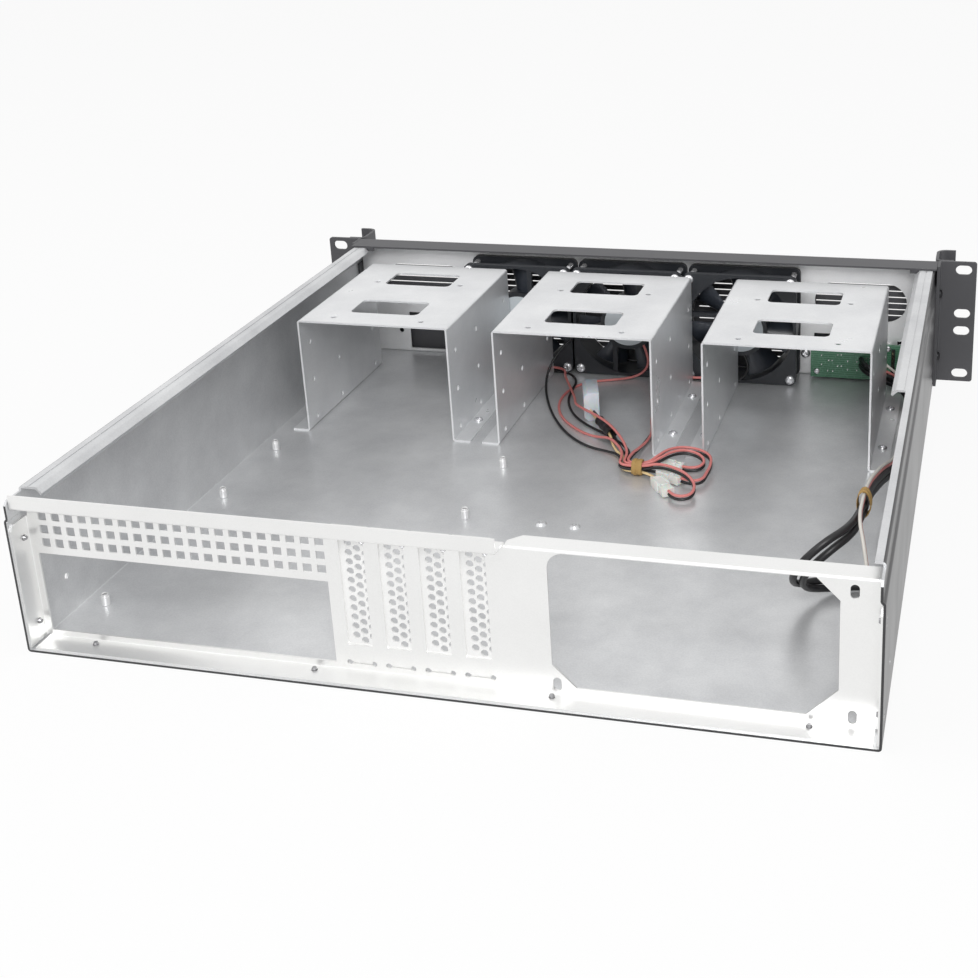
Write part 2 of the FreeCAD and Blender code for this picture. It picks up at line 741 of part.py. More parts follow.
def make_tray():
    """Floor, walls and rails, folded from one sheet."""
    side = [
        (upper_x - rail_width - rail_lip, rail_height - rail_lip),
        (upper_x - rail_width, rail_height),
        (upper_x, rail_height),
        (upper_x, wall_step_height + wall_inset),
        (half_width, wall_step_height),
        (half_width, 0),
    ]
    path = [at(-x, case_length, z) for x, z in side] + [at(x, case_length, z) for x, z in side[::-1]]
    tray = folded_sheet(path, tray_sheet, TO_FRONT, TO_REAR * case_length)
    tray = cut(tray, rail_cuts() + [wall_corner_cut()] + tray_holes())
    return add_bosses(tray)


def add_bosses(tray):
    """Tray with its two raised bosses, pressed up from the floor and pierced."""
    hollow = tray_sheet * 0.6
    bosses = [cone(at(x, boss_back, tray_sheet), UP, boss_radius, boss_top_radius, boss_height)
              for x in boss_spots]
    tools = []
    for x in boss_spots:
        base = at(x, boss_back, 0)
        tools.append(rod(base, UP, boss_hole_radius, tray_sheet + boss_height + cut_margin))
        tools.append(cone(base, UP, boss_radius - hollow, boss_top_radius - hollow, boss_height))
    return cut(join([tray] + bosses), tools)


def side_flange_fold(x_end, face_back, flange_start, sheet, x_inner, low, high):
    """Fold from a panel's face onto its +X side flange, between two heights."""
    path = [at(x_inner, face_back, low), at(x_end, face_back, low), at(x_end, flange_start, low)]
    return folded_sheet(path, sheet, UP, UP * (high - low))


def both_sides(shape):
    """Shape and its mirror image on the other side of the case."""
    return [shape, shape.mirror(FreeCAD.Vector(0, 0, 0), TO_RIGHT)]


def panel_blank():
    """Rear panel before its openings: the ledge half, the flange half and the two side flanges."""
    foot = [at(0, panel_back, tray_sheet), at(0, panel_end_gap, tray_sheet)]
    ledge_path = [
        at(0, ledge_end_back, ledge_height + upstand_height),
        at(0, ledge_end_back, ledge_height),
        at(0, panel_back, ledge_height),
    ] + foot
    flange_path = [
        at(0, panel_back + top_flange_reach, top_flange_height - panel_sheet),
        at(0, panel_back, top_flange_height - panel_sheet),
    ] + foot
    ledge_half = folded_sheet([p + TO_RIGHT * ledge_low_x for p in ledge_path], panel_sheet,
                              TO_RIGHT, TO_RIGHT * (ledge_high_x - ledge_low_x))
    flange_half = folded_sheet([p - TO_RIGHT * rim_x for p in flange_path], panel_sheet,
                               TO_RIGHT, TO_RIGHT * (rim_x + ledge_low_x))
    body = join([ledge_half, flange_half])
    corner_x = panel_side_x - panel_corner_cut
    reliefs = [side_block(side, corner_x, half_width, -cut_margin, panel_back + cut_margin,
                          0, side_flange_height) for side in SIDES]
    fold = side_flange_fold(panel_side_x, panel_back, panel_end_gap, panel_sheet, corner_x,
                            tray_sheet + panel_sheet, side_flange_height)
    fold = cut(fold, [side_flange_corner_cut()])
    return join([cut(body, reliefs)] + both_sides(fold))


def side_flange_corner_cut():
    """Tool that bevels the upper free corner of the rear panel's +X side flange."""
    bevel = side_flange_corner
    x = panel_side_x - panel_sheet - screw_clearance
    corners = [
        at(x, panel_end_gap - bevel, side_flange_height - 2 * bevel),
        at(x, panel_end_gap + 2 * bevel, side_flange_height + bevel),
        at(x, panel_end_gap - bevel, side_flange_height + bevel),
    ]
    return flat_plate(corners, TO_RIGHT * cut_margin)


def panel_tool(x_low, x_high, z_low, z_high):
    """Rectangular tool through the rear panel's face."""
    return block(x_low, x_high, panel_recess - screw_clearance, panel_back + screw_clearance,
                 z_low, z_high)


def vent_tools():
    """Tools for the square vent holes."""
    tools = []
    for row in range(vent_rows):
        top = vent_top - row * vent_pitch_down
        for column in range(vent_columns):
            x = vent_x - column * vent_pitch_across
            tools.append(panel_tool(x - vent_square, x, top - vent_square, top))
    return tools


def slot_tools():
    """Tools for the slot openings and the narrow slots that take the covers' tongues."""
    tools = []
    for number in range(slot_count):
        x = slot_x - number * slot_pitch
        middle = x - slot_width / 2
        tools.append(panel_tool(x - slot_width, x, slot_bottom, slot_top))
        tools.append(panel_tool(middle - tongue_slot_width / 2, middle + tongue_slot_width / 2,
                                tongue_slot_height - tongue_slot_opening / 2,
                                tongue_slot_height + tongue_slot_opening / 2))
        for side in SIDES:
            end = at(middle + side * tongue_slot_width / 2, panel_back + screw_clearance,
                     tongue_slot_height)
            tools.append(rod(end, TO_REAR, tongue_slot_end_radius, panel_sheet + 2 * screw_clearance))
    return tools


def supply_tools():
    """Tools for the power supply's cut-out, with its chamfered corners, and its screw slots."""
    near = supply_x
    far = supply_x - supply_width
    low = supply_bottom
    high = top_flange_height - panel_sheet - bend_radius
    back = panel_back + screw_clearance
    depth = TO_REAR * (panel_sheet + 2 * screw_clearance)
    outline = flat_plate([
        at(near, back, high), at(far + supply_top_chamfer, back, high),
        at(far, back, high - supply_top_chamfer), at(far, back, low + supply_far_chamfer),
        at(far + supply_far_chamfer, back, low), at(near - supply_near_chamfer, back, low),
        at(near, back, low + supply_near_chamfer),
    ], depth)
    radius = supply_corner_radius
    corner = block(near - radius, near, panel_recess - cut_margin, panel_back + cut_margin,
                   high - radius, high)
    round_end = rod(at(near - radius, back + cut_margin, high - radius), TO_REAR, radius,
                    2 * cut_margin)
    outline = outline.cut(corner.cut(round_end))
    places = [(supply_slot_x, 0), (supply_slot_x - supply_slot_span, 0),
              (supply_slot_x - supply_slot_span, supply_slot_rise)]
    slots = [slot_bar(at(x, back, supply_slot_height + rise), UP, TO_RIGHT, supply_slot_length,
                      supply_slot_width, depth) for x, rise in places]
    return [outline] + slots


def flange_bevel_tool():
    """Tool that bevels the free corner of the rear panel's top flange beside the ledge."""
    reach = panel_back + top_flange_reach
    low = top_flange_height - panel_sheet - screw_clearance
    corners = [
        at(ledge_low_x - top_flange_bevel, reach, low),
        at(ledge_low_x, reach, low),
        at(ledge_low_x, reach - top_flange_bevel, low),
    ]
    return flat_plate(corners, UP * cut_margin)


def make_rear_panel():
    """Rear panel with its vent, port aperture, slots, supply cut-out and screw holes."""
    tools = vent_tools() + slot_tools() + supply_tools() + [flange_bevel_tool()]
    tools.append(panel_tool(port_x - port_width, port_x, port_bottom, port_bottom + port_height))
    for seat, direction in flange_screw_seats():
        tools.append(rod(seat, direction, screw_hole_radius, flat_screw_length + cut_margin))
    for number in range(slot_count):
        seat = cover_screw_seat(number)
        tools.append(rod(seat, DOWN, screw_hole_radius, cover_sheet + panel_sheet + screw_clearance))
    return cut(panel_blank(), tools)


def cover_middle(number):
    """X of the middle of one slot cover."""
    return slot_x - slot_width / 2 - number * slot_pitch


def cover_screw_seat(number):
    """Point on a slot cover's tab under its screw's head."""
    return at(cover_middle(number) - cover_screw_offset, cover_screw_setback, slot_cover_top)


def cover_hole_tools(number):
    """Tools for a slot cover's staggered perforation."""
    tools = []
    first_x = slot_x - number * slot_pitch - cover_hole_inset
    start = panel_back + cover_sheet + screw_clearance
    corner_turn = 2 * math.pi / cover_hole_sides
    for column in range(cover_hole_columns):
        staggered = column % 2
        x = first_x - column * cover_hole_column_pitch
        for row in range(cover_hole_rows + staggered):
            z = slot_top - cover_hole_first_drop - cover_hole_pitch * (row - staggered / 2)
            corners = [at(x + cover_hole_radius * math.cos(corner_turn * (turn + 0.5)), start,
                          z + cover_hole_radius * math.sin(corner_turn * (turn + 0.5)))
                       for turn in range(cover_hole_sides)]
            tools.append(flat_plate(corners, TO_REAR * (cover_sheet + 2 * screw_clearance)))
    return tools


def make_slot_cover(number):
    """Perforated cover of one expansion slot, with its tab and its tongue."""
    middle = cover_middle(number)
    left = middle - cover_width / 2
    path = [at(left, ledge_end_back + cover_tab_gap, slot_cover_top),
            at(left, panel_back + cover_sheet, slot_cover_top),
            at(left, panel_back + cover_sheet, cover_bottom)]
    cover = folded_sheet(path, cover_sheet, TO_RIGHT, TO_RIGHT * cover_width)
    tools = cover_hole_tools(number)
    for side in SIDES:
        low, high = sorted((side * cover_tongue_width / 2, side * cover_width))
        tools.append(block(middle + low, middle + high, 0, panel_back + cut_margin,
                           cover_bottom - cut_margin, cover_tongue_top))
    seat = cover_screw_seat(number)
    depth = cover_sheet + 2 * screw_clearance
    notch_x = seat.x - cover_notch_width
    top = seat + UP * screw_clearance
    tools.append(slot_bar(top + TO_RIGHT * ((notch_x - seat.x) / 2), TO_RIGHT, TO_REAR,
                          seat.x - notch_x + cover_notch_width, cover_notch_width, DOWN * depth))
    return cut(cover, tools)


def make_slot_cover_screws():
    """Screws that hold the slot covers' tabs to the ledge."""
    return [pan_screw(cover_screw_seat(number), DOWN, cover_screw_length)
            for number in range(slot_count)]


def make_rear_panel_screws():
    """Countersunk screws through the tray into the rear panel's flanges."""
    return [flat_screw(seat, direction, flat_screw_length)
            for seat, direction in flange_screw_seats()]


def make_standoffs():
    """Mainboard standoffs, each with a spigot pressed into the floor and a threaded bore."""
    standoffs = []
    for seat in standoff_seats():
        body = join([rod(seat, UP, standoff_radius, standoff_height),
                     rod(seat, DOWN, standoff_spigot_radius, tray_sheet)])
        top = seat + UP * standoff_height
        standoffs.append(body.cut(rod(top, DOWN, standoff_bore_radius, standoff_bore_depth)))
    return standoffs


def bracket_tools(spot):
    """Tools for a drive bracket's windows and holes."""
    top = bracket_height
    tools = []
    for start in bracket_window_starts:
        near = bracket_back + start
        far = near + bracket_window_length
        half = bracket_window_width / 2
        corners = [at(spot - half, near, top), at(spot + half, near, top),
                   at(spot + half, far, top), at(spot - half, far, top)]
        tools.append(rounded_plate(corners, bracket_window_radius, DOWN * cut_margin))
    for side in SIDES:
        for start in bracket_top_hole_starts:
            hole = at(spot + side * bracket_top_hole_span / 2, bracket_back + start, top)
            tools.append(rod(hole, DOWN, bracket_hole_radius, cut_margin))
            tools.append(cone(hole, DOWN, bracket_dimple_radius, bracket_hole_radius,
                              bracket_dimple_depth))
    for start in bracket_wall_hole_starts:
        for height in bracket_wall_hole_heights:
            side_start = at(spot - bracket_width, bracket_back + start, height)
            tools.append(rod(side_start, TO_RIGHT, bracket_hole_radius, 2 * bracket_width))
    return tools


def make_drive_bracket(spot):
    """Inverted channel that holds drives between its walls or on its top."""
    half = bracket_width / 2
    foot = half + bracket_foot
    foot_top = tray_sheet + bracket_sheet
    side = [(foot, foot_top), (half, foot_top), (half, bracket_height)]
    path = [at(spot + x, bracket_end, z) for x, z in side]
    path += [at(spot - x, bracket_end, z) for x, z in side[::-1]]
    bracket = folded_sheet(path, bracket_sheet, TO_FRONT, TO_REAR * bracket_length)
    tools = bracket_tools(spot)
    tools += [rod(seat, DOWN, screw_hole_radius, bracket_sheet) for seat in bracket_screw_seats()]
    return cut(bracket, tools)


def make_bracket_screws():
    """Screws that hold the brackets' feet to the floor."""
    return [pan_screw(seat, DOWN, bracket_sheet + tray_sheet) for seat in bracket_screw_seats()]


def square_corners(middle_x, back, half):
    """Corners of a fan-sized square in the plane at back."""
    return [at(middle_x - half, back, fan_middle - half), at(middle_x + half, back, fan_middle - half),
            at(middle_x + half, back, fan_middle + half), at(middle_x - half, back, fan_middle + half)]


def make_fan_frame(fan_x):
    """Fan frame: two square flanges on a barrel, with the struts and hub that carry the bearing."""
    half = fan_size / 2
    rear = rounded_plate(square_corners(fan_x, fan_back, half), fan_corner_radius,
                         TO_FRONT * fan_flange)
    front = rounded_plate(square_corners(fan_x, fan_front, half), fan_corner_radius,
                          TO_REAR * fan_flange)
    centre = at(fan_x, fan_back, fan_middle)
    barrel = rod(centre, TO_FRONT, fan_barrel_radius, fan_depth)
    tools = [rod(centre, TO_FRONT, fan_bore_radius, fan_depth)]
    for hole in fan_hole_spots(fan_x, fan_back):
        tools.append(rod(hole, TO_FRONT, fan_hole_radius, fan_depth))
    shell = cut(join([rear, front, barrel]), tools)
    return join([shell] + fan_spider(fan_x)).cut(bearing_bore(fan_x))


def fan_spider(fan_x):
    """Hub plate, bearing tube and struts inside a fan frame."""
    sunk = at(fan_x, fan_back + fan_hub_sink, fan_middle)
    parts = [rod(sunk, TO_FRONT, fan_hub_radius, fan_hub_plate),
             rod(sunk, TO_FRONT, fan_bearing_radius, fan_hub_plate + fan_bearing_length)]
    reach = math.sqrt(fan_barrel_radius ** 2 - (fan_strut_offset + fan_strut_width) ** 2)
    for number in range(fan_strut_count):
        strut = block(fan_x, fan_x + reach, fan_back + fan_hub_sink,
                      fan_back + fan_hub_sink + fan_strut_depth,
                      fan_middle + fan_strut_offset,
                      fan_middle + fan_strut_offset + fan_strut_width)
        strut.rotate(sunk, TO_REAR, number * 360 / fan_strut_count)
        parts.append(strut.cut(rod(sunk, TO_FRONT, fan_bearing_radius, fan_depth)))
    return parts


def bearing_bore(fan_x):
    """Tool for the bearing's bore, open at the rotor's side."""
    sunk = at(fan_x, fan_back + fan_hub_sink + fan_hub_plate / 2, fan_middle)
    return rod(sunk, TO_FRONT, fan_shaft_radius + fan_shaft_clearance, fan_depth)


def blade_section(radius, chord, pitch):
    """Outline of a blade's section at one radius, in a plane across the blade."""
    turn = math.radians(pitch)
    along = FreeCAD.Vector(math.cos(turn), -math.sin(turn), 0)
    across = FreeCAD.Vector(math.sin(turn), math.cos(turn), 0)
    centre = FreeCAD.Vector(0, 0, radius)
    nose = centre - along * (chord / 2)
    tail = centre + along * (chord / 2)
    upper = centre + across * (blade_camber + blade_thickness)
    lower = centre + across * blade_camber
    return Part.Wire([Part.Arc(nose, upper, tail).toShape(), Part.Arc(tail, lower, nose).toShape()])


def make_fan_rotor(fan_x):
    """Fan rotor: a cup on a shaft, with curved blades round it."""
    cup_back = fan_back + fan_hub_sink + fan_strut_depth + rotor_gap
    cup_front = fan_front - rotor_front_gap
    depth = cup_front - cup_back
    centre = at(fan_x, cup_back, fan_middle)
    cup = rod(centre, TO_FRONT, rotor_cup_radius, depth)
    hollow = rod(centre, TO_FRONT, rotor_cup_radius - rotor_cup_wall, depth - rotor_cup_wall)
    shaft_start = at(fan_x, fan_back + fan_hub_sink + fan_hub_plate / 2 + rotor_gap, fan_middle)
    shaft = rod(shaft_start, TO_FRONT, fan_shaft_radius, cup_front - shaft_start.dot(TO_FRONT) - rear_y)
    tip = fan_bore_radius - rotor_tip_gap
    blade = Part.makeLoft([
        blade_section(rotor_cup_radius - blade_inset, blade_root_chord, blade_root_pitch),
        blade_section(tip + blade_inset, blade_tip_chord, blade_tip_pitch),
    ], True, True)
    blade.translate(at(fan_x, (cup_back + cup_front) / 2, fan_middle))
    sweep = rod(centre, TO_FRONT, tip, depth)
    blades = []
    for number in range(blade_count):
        copy = blade.copy()
        copy.rotate(centre, TO_REAR, number * 360 / blade_count)
        blades.append(copy.common(sweep))
    return join([cup] + blades).cut(hollow).fuse(shaft).removeSplitter()


def make_fan_screws():
    """Long screws through the fans' corners into the inner front panel."""
    length = fan_depth + inner_sheet + fan_screw_tail
    return [pan_screw(hole, TO_FRONT, length, fan_screw_head_radius, fan_screw_head_height,
                      fan_screw_radius)
            for fan_x in fan_spots() for hole in fan_hole_spots(fan_x, fan_back)]


def inner_panel_tools():
    """Tools for the inner front panel's air openings, bays and screw holes."""
    back = inner_back - screw_clearance
    through = inner_sheet + 2 * screw_clearance
    tools = []
    for fan_x in fan_spots():
        tools.append(rod(at(fan_x, back, fan_middle), TO_FRONT, fan_bore_radius, through))
        for hole in fan_hole_spots(fan_x, back):
            tools.append(rod(hole, TO_FRONT, fan_screw_radius + screw_clearance, through))
    for side in SIDES:
        middle = at(side * (inner_vent_near + inner_vent_far) / 2, back,
                    inner_vent_low + inner_vent_height / 2)
        tools.append(slot_bar(middle, TO_RIGHT, UP, inner_vent_far - inner_vent_near,
                              inner_vent_height, TO_FRONT * through))
        tools.append(side_block(side, bay_near, bay_far, back, back + through,
                                bay_low, bay_low + bay_height))
    tools.append(rod(at(locating_hole_x, back, locating_hole_height), TO_FRONT,
                     locating_hole_radius, through))
    tools.append(rod(at(panel_screw_x, back, panel_screw_height), TO_FRONT, screw_hole_radius,
                     through))
    for centre in port_centres(back):
        half_x = port_opening_width / 2 + port_margin
        half_z = port_opening_height / 2 + port_margin
        tools.append(block(centre.x - half_x, centre.x + half_x, back, back + through,
                           centre.z - half_z, centre.z + half_z))
    for spot in port_screw_spots(back):
        tools.append(rod(spot, TO_FRONT, board_screw_radius + screw_clearance, through))
    return tools


def make_inner_front_panel():
    """Bright inner panel that carries the fans, folded forward at its top and bottom."""
    half = upper_inner_x - inner_side_gap
    path = [at(-half, inner_back + inner_flange, tray_sheet), at(-half, inner_back, tray_sheet),
            at(-half, inner_back, inner_top), at(-half, inner_back + inner_flange, inner_top)]
    panel = folded_sheet(path, inner_sheet, TO_RIGHT, TO_RIGHT * (2 * half))
    return cut(panel, inner_panel_tools())


def make_panel_screw():
    """Screw beside the fans in the inner front panel."""
    return [pan_screw(at(panel_screw_x, inner_back, panel_screw_height), TO_FRONT,
                      panel_screw_length, panel_screw_head_radius)]


def slit_tools():
    """Tools for the front panel's air slits: a field before each fan and one at each side."""
    fields = [(fan_x, fan_slit_length, fan_slit_low, fan_slit_rows) for fan_x in fan_spots()]
    side_length = inner_vent_far - inner_vent_near
    side_low = inner_vent_low + inner_vent_height / 2 - slit_pitch * (side_slit_rows - 1) / 2
    for side in SIDES:
        middle = side * (inner_vent_near + inner_vent_far) / 2
        fields.append((middle, side_length, side_low, side_slit_rows))
    tools = []
    for middle, length, low, rows in fields:
        for row in range(rows):
            z = low + row * slit_pitch
            tools.append(block(middle - length / 2, middle + length / 2, front_back,
                               front_face, z - slit_height / 2, z + slit_height / 2))
    return tools


def control_tools():
    """Tools for the holes of the buttons, lamps and ports in the front panel."""
    tools = []
    controls = [(power_button_x, power_button_radius + button_clearance),
                (reset_button_x, reset_button_radius + button_clearance)]
    controls += [(spot, lamp_radius + lamp_clearance) for spot in lamp_spots]
    for spot, radius in controls:
        tools.append(rod(at(-spot, front_back, control_height), TO_FRONT, radius, front_sheet))
    half_x = port_opening_width / 2 + port_shell_gap
    half_z = port_opening_height / 2 + port_shell_gap
    for centre in port_centres(front_back):
        tools.append(block(centre.x - half_x, centre.x + half_x, front_back, front_face,
                           centre.z - half_z, centre.z + half_z))
    return tools


def make_front_panel():
    """Dark front panel with a top lip, two side flanges, air slits and control holes."""
    half = half_width - front_side_gap
    path = [at(-half, lip_back, front_height), at(-half, front_face, front_height),
            at(-half, front_face, 0)]
    panel = folded_sheet(path, front_sheet, TO_RIGHT, TO_RIGHT * (2 * half))
    corner_x = inner_x - front_corner_cut
    reliefs = [side_block(side, corner_x, half_width, front_back - screw_clearance,
                          front_face + screw_clearance, front_flange_low, front_flange_high)
               for side in SIDES]
    fold = side_flange_fold(inner_x, front_face, case_length - front_flange_depth, front_sheet,
                            corner_x, front_flange_low, front_flange_high)
    under_lip = front_height - front_sheet
    tabs = [side_block(side, front_tab_x - front_tab_width / 2, front_tab_x + front_tab_width / 2,
                       lip_back, lip_back + front_sheet, under_lip - front_tab_drop, under_lip)
            for side in SIDES]
    panel = join([cut(panel, reliefs)] + both_sides(fold) + tabs)
    tools = slit_tools() + control_tools()
    for seat, direction in ear_screw_seats():
        tools.append(rod(seat, direction, screw_hole_radius, ear_sheet + tray_sheet + cut_margin))
    return cut(panel, tools)


def make_rack_ear(side):
    """Angled rack ear: a flange along the wall and a plate with the rack's slots."""
    edge = side * rack_width / 2
    path = [at(side * half_width, case_length - ear_flange_depth, 0),
            at(side * half_width, front_rear, 0), at(edge, front_rear, 0)]
    if side < 0:
        path = path[::-1]
    ear = folded_sheet(path, ear_sheet, UP, UP * front_height)
    tools = ear_corner_tools(side)
    for rise in rack_slot_rises:
        centre = at(side * rack_slot_span / 2, front_rear, rack_middle + rise)
        tools.append(slot_bar(centre, TO_RIGHT, UP, rack_slot_length, rack_slot_height,
                              TO_REAR * ear_sheet))
    for seat, direction in ear_screw_seats():
        tools.append(rod(seat, direction, screw_hole_radius, ear_sheet))
    return cut(ear, tools)


def ear_corner_tools(side):
    """Tools that round the outer corners of an ear's plate."""
    tools = []
    radius = ear_corner_radius
    for height, rise in ((0, 1), (front_height, -1)):
        low, high = sorted((height, height + rise * radius))
        corner = side_block(side, rack_width / 2 - radius, rack_width / 2, case_length, front_rear,
                            low, high)
        centre = at(side * (rack_width / 2 - radius), front_rear, height + rise * radius)
        tools.append(corner.cut(rod(centre, TO_REAR, radius, ear_sheet)))
    return tools


def make_handle(side):
    """Handle folded from one strip: a foot on the ear, a web forward and a curled grip."""
    web = half_width - handle_overhang
    tip_back = front_rear + handle_reach
    path = [at(side * (web + handle_foot), front_rear, 0), at(side * web, front_rear, 0),
            at(side * web, tip_back, 0), at(side * (web + handle_tip), tip_back, 0)]
    radii = [handle_fold_radius, handle_tip_radius]
    if side < 0:
        path = path[::-1]
        radii = radii[::-1]
    return folded_sheet(path, handle_sheet, UP, UP * front_height, radii)


def make_ear_screws():
    """Screws through the ears and the tray's walls into the front panel's flanges."""
    length = ear_sheet + tray_sheet + front_sheet
    return [pan_screw(seat, direction, length) for seat, direction in ear_screw_seats()]


def control_screw_spots(back):
    """Points on the axes of the control board's screws, in the plane at back."""
    low = board_low + board_screw_inset
    high = board_low + board_height - board_screw_inset
    near = -control_board_near - board_screw_inset
    far = -control_board_far + board_screw_inset
    return [at(near, back, low), at(near, back, high), at(far, back, low), at(far, back, high)]


def port_screw_spots(back):
    """Points on the axes of the port board's screws, in the plane at back."""
    x = -port_board_near - port_screw_inset
    return [at(x, back, board_low + port_screw_inset),
            at(x, back, board_low + board_height - port_screw_inset)]


def port_centres(back):
    """Points on the middle lines of the two data ports, in the plane at back."""
    low = board_low + port_shell_drop
    high = board_low + board_height - port_shell_drop
    return [at(-port_shell_x, back, low), at(-port_shell_x, back, high)]


def make_board(near, far, spots):
    """Circuit board with its screw holes."""
    board = block(-far, -near, board_rear, board_front, board_low, board_low + board_height)
    radius = board_screw_radius + screw_clearance
    return cut(board, [rod(spot, TO_FRONT, radius, board_sheet) for spot in spots])


def make_board_spacers():
    """Spacers that hold the boards: long ones to the front panel, short ones to the inner panel."""
    spacers = []
    for spots, length in ((control_screw_spots(board_front), front_back - board_front),
                          (port_screw_spots(board_front), inner_back - board_front)):
        for spot in spots:
            tube = rod(spot, TO_FRONT, spacer_radius, length)
            bore = rod(spot, TO_FRONT, board_screw_radius + screw_clearance, length)
            spacers.append(tube.cut(bore))
    return spacers


def make_board_screws():
    """Small screws through the boards into their spacers."""
    spots = control_screw_spots(board_rear) + port_screw_spots(board_rear)
    return [pan_screw(spot, TO_FRONT, board_sheet + board_screw_depth, board_screw_head_radius,
                      board_screw_head_height, board_screw_radius) for spot in spots]


def make_board_header():
    """Pin header on the rear of the port board."""
    length = header_pin_count * header_pin_pitch
    low = header_height - length / 2
    half = header_body / 2
    body = block(-header_x - half, -header_x + half, board_rear - header_body, board_rear,
                 low, low + length)
    pins = []
    half_pin = header_pin_side / 2
    for number in range(header_pin_count):
        z = low + header_pin_pitch * (number + 0.5)
        pins.append(block(-header_x - half_pin, -header_x + half_pin,
                          board_rear - header_body - header_pin_length, board_rear - header_body,
                          z - half_pin, z + half_pin))
    return join([body] + pins)


def make_switch(spot):
    """Push switch on the front of the control board, under one button."""
    half = switch_side / 2
    body = block(-spot - half, -spot + half, board_front, board_front + switch_height,
                 control_height - half, control_height + half)
    plunger = rod(at(-spot, board_front + switch_height, control_height), TO_FRONT,
                  switch_plunger_radius, switch_plunger_height)
    return join([body, plunger])


def make_button(spot, radius):
    """Push button: a cap in the front panel, a collar that holds it in and a stem."""
    collar_front = front_back - button_clearance
    face = front_face + button_proud
    stem_end = board_front + switch_height + switch_plunger_height
    stem_end += button_travel + button_switch_gap
    cap = rod(at(-spot, collar_front, control_height), TO_FRONT, radius, face - collar_front)
    collar = rod(at(-spot, collar_front - button_collar_height, control_height), TO_FRONT,
                 radius + button_collar, button_collar_height)
    stem = rod(at(-spot, stem_end, control_height), TO_FRONT, button_stem_radius,
               collar_front - stem_end)
    return join([cap, collar, stem])


def make_lamps():
    """Light pipes from the control board to the front panel."""
    length = front_face + lamp_proud - board_front
    return [rod(at(-spot, board_front, control_height), TO_FRONT, lamp_radius, length)
            for spot in lamp_spots]


def make_ports():
    """Data ports: metal shells with a contact tongue, open to the front."""
    ports = []
    half_x = port_opening_width / 2
    half_z = port_opening_height / 2
    wall = port_shell_wall
    for centre in port_centres(board_front):
        shell = block(centre.x - half_x, centre.x + half_x, board_front, front_face,
                      centre.z - half_z, centre.z + half_z)
        hollow = block(centre.x - half_x + wall, centre.x + half_x - wall, board_front + wall,
                       front_face, centre.z - half_z + wall, centre.z + half_z - wall)
        tongue = block(centre.x - port_tongue / 2, centre.x + port_tongue / 2, board_front + wall,
                       front_face - port_tongue_inset, centre.z - half_z + port_tongue_inset,
                       centre.z + half_z - port_tongue_inset)
        ports.append(join([shell.cut(hollow), tongue]))
    return ports


def bend_radii(points):
    """Radius of each bend of a route, as wide as its two runs allow."""
    radii = []
    for before, corner, after in zip(points, points[1:], points[2:]):
        arriving = corner - before
        leaving = after - corner
        reach = bend_share * min(arriving.Length, leaving.Length)
        radii.append(reach / math.tan(arriving.getAngle(leaving) / 2))
    return radii


def make_wire(route, diameter):
    """Round wire along a route."""
    points = [at(*spot) for spot in route]
    radii = bend_radii(points)
    path = Part.Wire(rounded_path(points, radii))
    section = Part.Wire(Part.makeCircle(diameter / 2, points[0], points[1] - points[0]))
    wire = path.makePipeShell([section], True, False)
    print("bend radii", [round(radius, 1) for radius in radii], "length", round(path.Length, 1),
          "filled", round(wire.Volume / (path.Length * math.pi * diameter ** 2 / 4), 4))
    return wire


def square_bar(start, end, width, height):
    """Level square-edged bar whose centre line runs from start to end."""
    across = (end - start).cross(UP).normalize() * (width / 2)
    rise = UP * (height / 2)
    corners = [start + across + rise, start - across + rise, start - across - rise,
               start + across - rise]
    return Part.Face(Part.makePolygon(corners + corners[:1])).extrude(end - start)


def round_sleeve(start, end, radius, wall):
    """Open tube from start to end."""
    along = end - start
    return cut(rod(start, along, radius, along.Length), [rod(start, along, radius - wall, along.Length)])


def make_fan_plug(ends):
    """Mated pair of fan plugs: a wider shell and the narrower plug in it."""
    start, end = [at(*spot, fan_plug_middle) for spot in ends]
    middle = start + (end - start) * fan_plug_shell_share
    shell = square_bar(start, middle, fan_plug_width, fan_plug_height)
    plug = square_bar(middle, end, fan_plug_width - fan_plug_step, fan_plug_height - fan_plug_step)
    return join([shell, plug])


def make_supply_connector():
    """Four-way drive supply connector on its edge, chamfered along one side, with pin sockets."""
    start, end = at(*connector_start), at(*connector_end)
    body = square_bar(start, end, connector_width, connector_height)
    along = (end - start).normalize()
    across = along.cross(UP).normalize()
    side = across * (connector_width / 2)
    tools = []
    for rise in (UP * (connector_height / 2), DOWN * (connector_height / 2)):
        corner = start + side + rise
        inward = rise * (-connector_chamfer * 2 / connector_height)
        points = [corner, corner + inward, corner - across * connector_chamfer, corner]
        tools.append(Part.Face(Part.makePolygon(points)).extrude(end - start))
    for number in range(connector_pin_count):
        lift = UP * (connector_pin_pitch * (number - (connector_pin_count - 1) / 2))
        tools.append(rod(start + lift, along, connector_pin_radius, connector_pin_length))
    return cut(body, tools)


def make_harness_tie():
    """Tape wrapped round the fan wires where they fold back."""
    x, back, height = tie_centre
    start = at(x + tie_length / 2, back, height)
    return round_sleeve(start, start + TO_LEFT * tie_length, tie_radius, tie_wall)


def make_wire_plugs():
    """Two small standing plugs on the thin front wires."""
    half = wire_plug_side / 2
    return [block(x - half, x + half, back - half, back + half, wire_plug_low, wire_plug_top)
            for x, back in wire_plug_spots]


def save(name, shape):
    """Write one piece, or a group of like pieces, to its own file."""
    if isinstance(shape, list):
        shape = Part.makeCompound(shape)
    if not shape.isValid():
        raise ValueError(name + " is not a valid shape")
    print(name, len(shape.Solids), round(shape.Volume, 1))
    shape.exportStep("parts/" + name + ".step")


